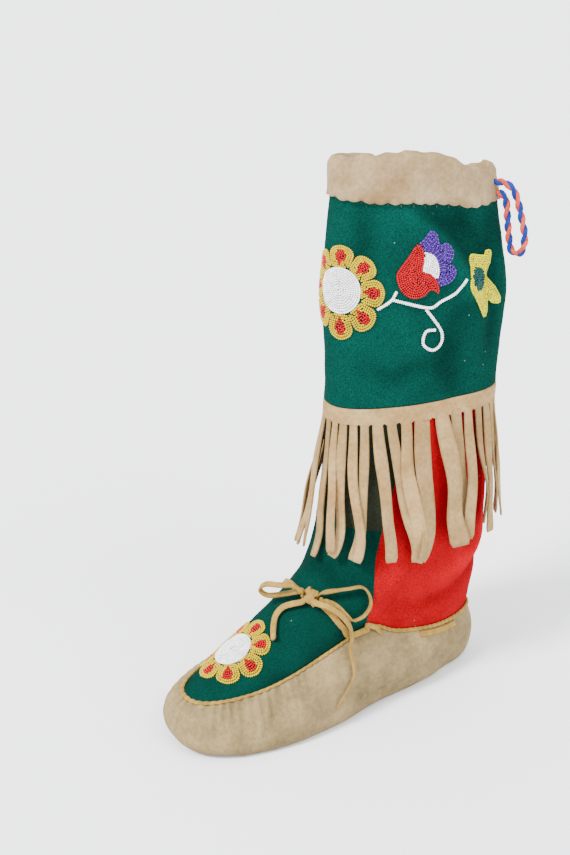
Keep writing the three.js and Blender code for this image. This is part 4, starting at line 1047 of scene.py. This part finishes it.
def on_vamp(places):
    """Angle and level of chart places on the vamp, wrapped over the foot's curve."""
    x, y = places[:, :1] / VAMP_CURVE, places[:, 1:]
    target = vamp_middle + vamp_up * y + vamp_across * VAMP_CURVE * np.sin(x)
    target = target + vamp_out * VAMP_CURVE * (np.cos(x) - 1)
    turn = np.full(len(places), VAMP_MIDDLE["turn"])
    level = np.full(len(places), VAMP_MIDDLE["level"])
    for _ in range(25):
        here = form_point(turn, level)
        by_turn = (form_point(turn + 1e-3, level) - here) / 1e-3
        by_level = (form_point(turn, level + 1e-3) - here) / 1e-3
        gap = target - here
        pairs = ((by_turn, by_turn), (by_level, by_level), (by_turn, by_level))
        aa, bb, ab = ((p * q).sum(-1) for p, q in pairs)
        ga, gb = (gap * by_turn).sum(-1), (gap * by_level).sum(-1)
        whole = np.maximum(aa * bb - ab * ab, 1e-9)
        turn = turn + 0.7 * np.clip((ga * bb - gb * ab) / whole, -0.2, 0.2)
        level = np.clip(level + 0.7 * np.clip((gb * aa - ga * ab) / whole, -0.1, 0.1), 2.01, 2.95)
    return turn, level


# One tree sews a small shape on at each point of a piece's pattern, turned to lie on the cloth.
sewn = bpy.data.node_groups.new("sewn_on", "GeometryNodeTree")
for label, kind in (("Pattern", "NodeSocketGeometry"), ("Wide", FLOAT), ("Long", FLOAT), ("Tall", FLOAT),
                    ("Seed", "NodeSocketInt"), ("Finish", "NodeSocketMaterial")):
    sewn.interface.new_socket(label, in_out="INPUT", socket_type=kind)
sewn.interface.new_socket("Beads", in_out="OUTPUT", socket_type="NodeSocketGeometry")
sewn_in, sewn_out = put(sewn, "NodeGroupInput", (-6, 0)), put(sewn, "NodeGroupOutput", (6, 0))
ball = put(sewn, "GeometryNodeMeshUVSphere", (-4, 2), segments=8, rings=5, radius=0.5)
size = put(sewn, "ShaderNodeCombineXYZ", (-4, 4))
shape = put(sewn, "GeometryNodeTransform", (-2, 3))
out_way = put(sewn, "GeometryNodeInputNamedAttribute", (-4, -2), data_type="FLOAT_VECTOR", name="out")
along_way = put(sewn, "GeometryNodeInputNamedAttribute", (-4, -4), data_type="FLOAT_VECTOR", name="along")
for named, label in ((out_way, "out"), (along_way, "along")):
    named.inputs["Name"].default_value = label
turned = put(sewn, "FunctionNodeAxesToRotation", (-2, -2), primary_axis="Z", secondary_axis="X")
uneven = put(sewn, "FunctionNodeRandomValue", (-2, -4), data_type="FLOAT_VECTOR")
uneven.inputs["Min"].default_value = (0.92, 0.95, 0.92)
uneven.inputs["Max"].default_value = (1.04, 1.05, 1.08)
each = put(sewn, "GeometryNodeInstanceOnPoints", (0, 0))
real = put(sewn, "GeometryNodeRealizeInstances", (2, 0))
smooth = put(sewn, "GeometryNodeSetShadeSmooth", (3, 0))
dressed = put(sewn, "GeometryNodeSetMaterial", (4, 0))
for source, target in (
    (sewn_in.outputs["Long"], size.inputs["X"]),
    (sewn_in.outputs["Wide"], size.inputs["Y"]),
    (sewn_in.outputs["Tall"], size.inputs["Z"]),
    (ball.outputs["Mesh"], shape.inputs["Geometry"]),
    (size.outputs[0], shape.inputs["Scale"]),
    (sewn_in.outputs["Pattern"], each.inputs["Points"]),
    (shape.outputs["Geometry"], each.inputs["Instance"]),
    (out_way.outputs["Attribute"], turned.inputs[0]),
    (along_way.outputs["Attribute"], turned.inputs[1]),
    (turned.outputs["Rotation"], each.inputs["Rotation"]),
    (sewn_in.outputs["Seed"], uneven.inputs["Seed"]),
    (uneven.outputs["Value"], each.inputs["Scale"]),
    (each.outputs["Instances"], real.inputs["Geometry"]),
    (real.outputs["Geometry"], smooth.inputs["Geometry"]),
    (smooth.outputs["Geometry"], dressed.inputs["Geometry"]),
    (sewn_in.outputs["Finish"], dressed.inputs["Material"]),
    (dressed.outputs["Geometry"], sewn_out.inputs["Beads"]),
):
    sewn.links.new(source, target)


def sew_on(name, places, out, along, colours, finish, wide, long, tall, seed):
    """The sewn pieces of a pattern as one plain mesh."""
    mesh = bpy.data.meshes.new(name + "_pattern")
    mesh.from_pydata([tuple(p) for p in places * 0.001], [], [])
    for label, values in (("out", out), ("along", along)):
        held = mesh.attributes.new(label, "FLOAT_VECTOR", "POINT")
        held.data.foreach_set("vector", np.asarray(values, np.float32).ravel())
    tint = mesh.attributes.new("tint", "FLOAT_COLOR", "POINT")
    tint.data.foreach_set("color", np.array([(*c, 1.0) for c in colours], np.float32).ravel())
    pattern = bpy.data.objects.new(name + "_pattern", mesh)
    bpy.context.scene.collection.objects.link(pattern)
    sewing = pattern.modifiers.new("sewn_on", "NODES")
    sewing.node_group = sewn
    sockets = {s.name: s.identifier for s in sewn.interface.items_tree if s.in_out == "INPUT"}
    for label, value in (("Wide", wide), ("Long", long), ("Tall", tall), ("Seed", seed), ("Finish", finish)):
        sewing[sockets[label]] = value
    bpy.context.view_layer.update()
    ready = pattern.evaluated_get(bpy.context.evaluated_depsgraph_get())
    baked = bpy.data.meshes.new_from_object(ready)
    baked.name = name
    bpy.data.objects.remove(pattern)
    piece = bpy.data.objects.new(name, baked)
    bpy.context.scene.collection.objects.link(piece)
    return piece


def bead_finish(name):
    """Opaque glass beads, each with the colour it was picked for."""
    finish = bpy.data.materials.new(name)
    finish.use_nodes = True
    tree = finish.node_tree
    shader = tree.nodes["Principled BSDF"]
    shader.inputs["Coat Weight"].default_value = 0.10
    shader.inputs["Specular IOR Level"].default_value = 0.12
    shader.inputs["Coat Roughness"].default_value = 0.12
    tint = put(tree, "ShaderNodeAttribute", (-6, 0), attribute_name="tint")
    place = put(tree, "ShaderNodeTexCoord", (-8, 2))
    uneven = put(tree, "ShaderNodeTexNoise", (-6, 2), scale=420.0, detail=1.0)
    spread = put(tree, "ShaderNodeMapRange", (-4, 2), from_min=0.3, from_max=0.7, to_min=0.78, to_max=1.15)
    varied = put(tree, "ShaderNodeVectorMath", (-3, 0), operation="SCALE")
    gloss = put(tree, "ShaderNodeMapRange", (-3, 3), from_min=0.3, from_max=0.7, to_min=0.16, to_max=0.38)
    for source, target in (
        (place.outputs["Object"], uneven.inputs["Vector"]),
        (uneven.outputs["Fac"], spread.inputs["Value"]),
        (uneven.outputs["Fac"], gloss.inputs["Value"]),
        (tint.outputs["Color"], varied.inputs[0]),
        (spread.outputs["Result"], varied.inputs["Scale"]),
        (varied.outputs[0], shader.inputs["Base Color"]),
        (gloss.outputs["Result"], shader.inputs["Roughness"]),
    ):
        tree.links.new(source, target)
    return finish


glass_beads = bead_finish("seed_beads")


def sew_beads(name, chart, places, ways, colours, seat, seed, size=1.0):
    """Beads at chart places, on the creased cloth."""
    places, ways, colours = thinned(np.asarray(places), np.asarray(ways), colours)
    turn, level = chart(places)
    turn2, level2 = chart(places + 0.4 * ways)
    ground = laid(turn, level, seat + 0.46 * BEAD_WIDE)
    along = unit(form_point(turn2, level2) - form_point(turn, level))
    return sew_on(name, ground, form_normal(turn, level), along, colours, glass_beads,
                  size * BEAD_WIDE * 0.00113, BEAD_LONG * 0.00113, BEAD_WIDE * 0.00096, seed)


for name, chart, radius, seat, seed in (
    ("vamp_flower", on_vamp, VAMP_FLOWER, 0.0, 3),
    ("cuff_flower", on_cuff, CUFF_FLOWER, CUFF_FACE, 5),
):
    beads = sew_beads(name, chart, *flower_beads(radius), seat, seed)
    worn_as(beads, [name + "_beads"])

tulip = [np.zeros((0, 2)), np.zeros((0, 2)), []]
for outline, colour in ((TULIP_CUP, BEAD_RED), (TULIP_HEART, BEAD_WHITE), (TULIP_CROWN, BEAD_PURPLE)):
    beads, rows = beads_in(smooth_line(outline, 0.2, True))
    pale = BEAD_LILAC if colour == BEAD_PURPLE else colour
    tints = [pale if k % 2 else colour for k in range(len(beads))]
    tulip = [np.vstack([tulip[0], beads]), np.vstack([tulip[1], rows]), tulip[2] + tints]
eye_turns = np.linspace(0, TURN, 90)
eye = np.stack([BLOOM_EYE["wide"] * np.cos(eye_turns), BLOOM_EYE["tall"] * np.sin(eye_turns)], -1)
eye = eye + BLOOM_EYE["middle"]
eye_beads, eye_rows = beads_in(eye)
beads, rows = beads_in(smooth_line(BLOOM, 0.2, True))
outside_eye = ~within(beads, eye)
bloom = [
    np.vstack([eye_beads, beads[outside_eye]]), np.vstack([eye_rows, rows[outside_eye]]),
    [BEAD_TEAL] * len(eye_beads) + [BEAD_LEMON] * int(outside_eye.sum()),
]
vine = [np.zeros((0, 2)), np.zeros((0, 2)), []]
for line in (STEM, VINE, CURL):
    beads, rows = beads_along(line)
    vine = [np.vstack([vine[0], beads]), np.vstack([vine[1], rows]), vine[2] + [BEAD_WHITE] * len(beads)]
for side_name, side in (("left", 1), ("right", -1)):
    shapes = (("tulip", tulip), ("bloom", bloom), ("vine", vine))
    for seed, (name, (places, ways, colours)) in enumerate(shapes):
        flip = np.array([side, 1.0])
        beads = sew_beads(f"{name}_{side_name}", on_cuff, places * flip, ways * flip, colours, CUFF_FACE,
                          11 + seed, 1.3 if name == "vine" else 1.0)
        worn_as(beads, [f"{name}_beads_{side_name}"])

# Sewing thread: waxed dark thread in whip stitches, one in each dip of the casing's lower edge,
# which hold it down on the band.
thread = hide_finish(
    "waxed_thread", (0.05, 0.055, 0.035), (0.03, 0.035, 0.025), (0.025, 0.025, 0.015), patches=200.0,
)
stitch_at = (np.arange(stitch_count)) / stitch_count * rim_girth
stitch_turn = np.interp(stitch_at, rim_run, casing_angles)
low = laid(stitch_turn, casing_foot - 0.004, lapped + 0.3)
high = laid(stitch_turn, casing_foot + 0.005, lapped + HIDE)
stitches = sew_on("casing_stitches", (low + high) / 2, form_normal(stitch_turn, np.full(stitch_count, 3.9)),
                  unit(high - low), [(0.1, 0.1, 0.1)] * stitch_count, thread, 0.0006, 0.0034, 0.0006, 31)
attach(stitches, "root")

# The lace: one long thong of tan hide. It shows beside the heel under the welt, comes out of a slit
# on each side, crosses the instep and is tied in a bow with two loops and two ends.
THONG_WIDTH = 4.6
THONG_THICK = 1.9
KNOT = dict(turn=0.35, level=2.63, lift=7.2, across=8.5, up=5.5, out=3.6)
OVER_WELT = 4.1
INSTEP_LACE = [
    dict(turn=1.66, level=1.90, lift=0.4),
    dict(turn=1.62, level=1.97, lift=2.4),
    dict(turn=1.56, level=2.03, lift=OVER_WELT),
    dict(turn=1.42, level=2.14, lift=4.3),
    dict(turn=1.16, level=2.34, lift=2.8),
    dict(turn=0.75, level=2.53, lift=1.9),
    dict(turn=0.35, level=2.63, lift=1.9),
    dict(turn=0.0, level=2.65, lift=1.9),
]
BOW = {
    "lace_loop_left": [
        dict(turn=0.58, level=2.68, lift=7.2), dict(turn=0.72, level=2.69, lift=6),
        dict(turn=0.87, level=2.69, lift=5), dict(turn=1.03, level=2.62, lift=5),
        dict(turn=1.19, level=2.50, lift=5), dict(turn=1.25, level=2.40, lift=5),
        dict(turn=1.14, level=2.41, lift=5), dict(turn=0.95, level=2.50, lift=5.5),
        dict(turn=0.74, level=2.58, lift=7),
    ],
    "lace_loop_right": [
        dict(turn=0.09, level=2.65, lift=14), dict(turn=-0.04, level=2.61, lift=19),
        dict(turn=-0.17, level=2.56, lift=22), dict(turn=-0.29, level=2.51, lift=18),
        dict(turn=-0.25, level=2.52, lift=11), dict(turn=-0.08, level=2.59, lift=7),
        dict(turn=0.10, level=2.635, lift=6.5),
    ],
    "lace_end_left": [
        dict(turn=0.49, level=2.59, lift=12.5), dict(turn=0.64, level=2.575, lift=12.5),
        dict(turn=0.84, level=2.52, lift=11), dict(turn=1.08, level=2.41, lift=10.5),
        dict(turn=1.40, level=2.16, lift=8.5), dict(turn=1.50, level=1.88, lift=5),
        dict(turn=1.49, level=1.66, lift=2.8), dict(turn=1.44, level=1.56, lift=2.8),
        dict(turn=1.38, level=1.46, lift=2.8),
    ],
    "lace_end_right": [
        dict(turn=0.14, level=2.565, lift=5.5), dict(turn=0.04, level=2.53, lift=5),
        dict(turn=0.04, level=2.48, lift=4), dict(turn=0.20, level=2.42, lift=4.2),
        dict(turn=0.37, level=2.36, lift=4.4),
    ],
}


def on_rows(rows):
    turn, level, lift = (np.array([row[name] for row in rows], float) for name in ("turn", "level", "lift"))
    return form_point(turn, level) + form_normal(turn, level) * lift[:, None]


knot_middle = on_rows([KNOT])[0]
knot_out = form_normal(KNOT["turn"], KNOT["level"])
knot_up = form_point(KNOT["turn"], KNOT["level"] + 0.01) - form_point(KNOT["turn"], KNOT["level"] - 0.01)
knot_up = unit(knot_up - knot_out * (knot_up @ knot_out))
knot_across = np.cross(knot_up, knot_out)
knot_axes = ((knot_across, KNOT["across"]), (knot_up, KNOT["up"]), (knot_out, KNOT["out"]))


def off_knot(toward, gap):
    """A place off the knot's face, square to it, on the side that faces a point."""
    way = toward - knot_middle
    reach = 1 / math.sqrt(sum((way @ axis / half) ** 2 for axis, half in knot_axes))
    square = unit(sum(axis * (way @ axis) / half**2 for axis, half in knot_axes))
    return knot_middle + way * reach + square * gap


def boot_out(points):
    """Out of the boot at points beside its instep."""
    middle = np.array([knot_middle[0] * 0.2, knot_middle[1] + 25, 62.0])
    return unit(points - middle)


def lace_piece(name, path, facing, width=THONG_WIDTH, thick=THONG_THICK):
    """A thong along a path, flat side to a way."""
    way = unit(np.gradient(path, axis=0))
    across = unit(np.cross(facing, way))
    points, faces, dark = strap(path, across, np.cross(way, across), width, thick, 12, 0.25)
    return piece_from(name, points, faces, lace_hide, {"painted_shade_and_tone": dark})


over_instep = [(row["turn"], row["level"], row["lift"]) for row in INSTEP_LACE]
over_instep += [(-turn, level, lift) for turn, level, lift in over_instep[-2::-1]]
turn, level, lift = smooth_line(over_instep, 0.05, False).T
instep_path = form_point(turn, level) + form_normal(turn, level) * lift[:, None]
instep_path = smooth_line(instep_path, 1.2, False)
instep_facing = unit(np.stack([np.interp(np.linspace(0, 1, len(instep_path)), np.linspace(0, 1, len(turn)), n)
                               for n in form_normal(turn, level).T], -1))
instep_lace = lace_piece("instep_lace", instep_path, instep_facing)
worn_as(instep_lace, ["lace_instep"])
for side_name, side in (("left", 1), ("right", -1)):
    turns = np.linspace(1.92, 2.36, 26)
    below = -(WELT_WIDTH / 2 + CLEAR + 0.4 + THONG_WIDTH / 2)
    level = from_seam(turns, np.full(26, below))
    dips = np.where((turns < 1.945) | (turns > 2.335), -0.5, 1.3)
    path = form_point(side * turns, level) + form_normal(side * turns, level) * dips[:, None]
    heel_lace = lace_piece(f"heel_lace_{side_name}", path, form_normal(side * turns, level))
    worn_as(heel_lace, [f"lace_heel_{side_name}"])

knot_points, knot_faces, knot_dark = [], [], []
for tilt, size, roll in ((0.15, 1.0, 0.0), (1.25, 0.93, 0.5), (-0.75, 0.84, -0.4)):
    turns = np.linspace(0, TURN, 36, endpoint=False)
    wrap_axis = knot_across * math.cos(tilt) + knot_up * math.sin(tilt)
    wrap_side = -knot_across * math.sin(tilt) + knot_up * math.cos(tilt)
    wide = math.hypot(KNOT["across"] * math.sin(tilt), KNOT["up"] * math.cos(tilt))
    across = np.cos(turns)[:, None] * wrap_side * wide
    ring = (across + np.sin(turns)[:, None] * knot_out * (KNOT["out"] + 0.6)) * size
    lean = wrap_axis * (roll * 3 * np.cos(turns))[:, None]
    path = knot_middle + ring * 0.86 + lean
    facing = unit(ring)
    c, s = super_oval(np.linspace(0, TURN, 12, endpoint=False), 4.0)
    section = path[:, None] + wrap_axis * (c * THONG_WIDTH * 0.5)[None, :, None]
    section = section + facing[:, None] * (s * 0.95)[None, :, None]
    start = sum(len(p) for p in knot_points)
    knot_points.append(section.reshape(-1, 3))
    knot_faces += [tuple(start + i for i in f) for f in ring_faces(36, 12, True)]
    knot_dark.append(np.tile(0.4 * (np.abs(c) > 0.9), 36))
knot = piece_from("lace_knot_wraps", np.concatenate(knot_points), knot_faces, lace_hide,
                  {"painted_shade_and_tone": np.concatenate(knot_dark)})
worn_as(knot, ["lace_knot"])

for name, rows in BOW.items():
    bow_points = on_rows(rows)
    first = [off_knot(bow_points[0], gap) for gap in (-0.6, 3.0)]
    last = [off_knot(bow_points[-1], gap) for gap in (3.0, -0.6)] if "loop" in name else []
    path = smooth_line(np.array(first + list(bow_points) + last), 1.2, False)
    share = np.linspace(0, 1, len(path))
    way = unit(np.gradient(path, axis=0))
    out = boot_out(path)
    if "loop" in name:
        middle = path[3:-3].mean(axis=0)
        facing = unit(path - middle - way * ((path - middle) * way).sum(-1, keepdims=True))
        width, thick = THONG_WIDTH, THONG_THICK
    else:
        side = unit(np.cross(out, way))
        roll = np.radians(35 * np.sin(np.pi * share))[:, None]
        facing = out * np.cos(roll) + side * np.sin(roll)
        taper = np.clip((1 - share) / 0.45, 0.28, 1) if name == "lace_end_left" else np.ones(len(path))
        width, thick = THONG_WIDTH * taper, THONG_THICK * np.maximum(taper, 0.6)
    lace = lace_piece(name + "_thong", path, facing, width, thick)
    worn_as(lace, [name])

# The drawstring: two plies of wool yarn, blue and coral, twisted together and drawn out of two
# holes at the back of the casing, hanging in a loop.
CORD = 5.4
DRAW_TURN = 2.62
DRAW_HOLES = dict(upper=5.5, lower=14)  # drops below the rim
DRAW_LOOP = [
    dict(out=7.5, drop=6.5), dict(out=13, drop=12.5), dict(out=15.5, drop=23), dict(out=17, drop=36),
    dict(out=17.5, drop=47), dict(out=13.5, drop=57), dict(out=6.5, drop=56), dict(out=5.5, drop=46),
    dict(out=6, drop=35), dict(out=6.4, drop=26), dict(out=6.2, drop=18.5),
]
PLY_TURN = 17.0  # length of one turn of the twist


def draw_place(out, drop):
    at = level_at(RIM_HEIGHT - drop)
    return form_point(DRAW_TURN, at) + form_normal(DRAW_TURN, at) * (CUFF_FACE + CLEAR + HIDE + out)


draw_points = [draw_place(out, DRAW_HOLES["upper"]) for out in (-0.8, 2.6)]
draw_points += [draw_place(**row) for row in DRAW_LOOP]
draw_points += [draw_place(out, DRAW_HOLES["lower"]) for out in (2.6, -0.8)]
draw_path = smooth_line(np.array(draw_points), 0.7, False)
draw_run = np.concatenate([[0], np.cumsum(np.linalg.norm(np.diff(draw_path, axis=0), axis=1))])
draw_way = unit(np.gradient(draw_path, axis=0))
draw_side = unit(np.cross(draw_way, np.array([0.83, 0.5, 0.2])))
draw_up = np.cross(draw_way, draw_side)


def yarn_finish(name, colour, dark):
    """Wool yarn: fine fibres twisted round the ply."""
    finish = hide_finish(name, colour, dark, dark, rough=1.0, patches=260.0, lift=0.0004)
    finish.node_tree.nodes["Principled BSDF"].inputs["Sheen Weight"].default_value = 0.03
    return finish


blue_yarn = yarn_finish("blue_yarn", (0.012, 0.040, 0.26), (0.008, 0.024, 0.16))
coral_yarn = yarn_finish("coral_yarn", (0.58, 0.085, 0.050), (0.42, 0.05, 0.028))
yarn_points, yarn_faces, yarn_groove_shade = [], [], []
PLY = CORD * 0.56
for strand in range(2):
    twist = TURN * (draw_run / PLY_TURN + strand / 2)
    out = draw_side * np.cos(twist)[:, None] + draw_up * np.sin(twist)[:, None]
    centre = draw_path + out * (CORD - PLY) / 2
    ply_way = unit(np.gradient(centre, axis=0))
    across = unit(np.cross(ply_way, draw_side))
    round_ = np.cross(ply_way, across)
    turns = np.linspace(0, TURN, 20, endpoint=False)
    strands = 1 + 0.10 * np.cos(5 * turns[None] + 2.4 * draw_run[:, None])
    ring = across[:, None] * (np.cos(turns)[None] * strands)[..., None]
    ring = ring + round_[:, None] * (np.sin(turns)[None] * strands)[..., None]
    points = centre[:, None] + ring * PLY / 2
    start = sum(len(p) for p in yarn_points)
    yarn_points.append(points.reshape(-1, 3))
    ends = [tuple(range(20)), tuple(range((len(centre) - 1) * 20, len(centre) * 20))]
    yarn_faces += [tuple(start + i for i in f) for f in ring_faces(len(centre), 20, False) + ends]
    # Painted shade in the grooves between the fibre strands.
    yarn_groove_shade.append((0.5 * (1.05 - strands) / 0.2).ravel())
drawstring = piece_from("drawstring_cord", np.concatenate(yarn_points), yarn_faces, blue_yarn,
                        {"painted_shade_and_tone": np.clip(np.concatenate(yarn_groove_shade), 0, 1)})
drawstring.data.materials.append(coral_yarn)
half_faces = len(drawstring.data.polygons) // 2
for polygon in drawstring.data.polygons[half_faces:]:
    polygon.material_index = 1
worn_as(drawstring, ["drawstring_loop"])
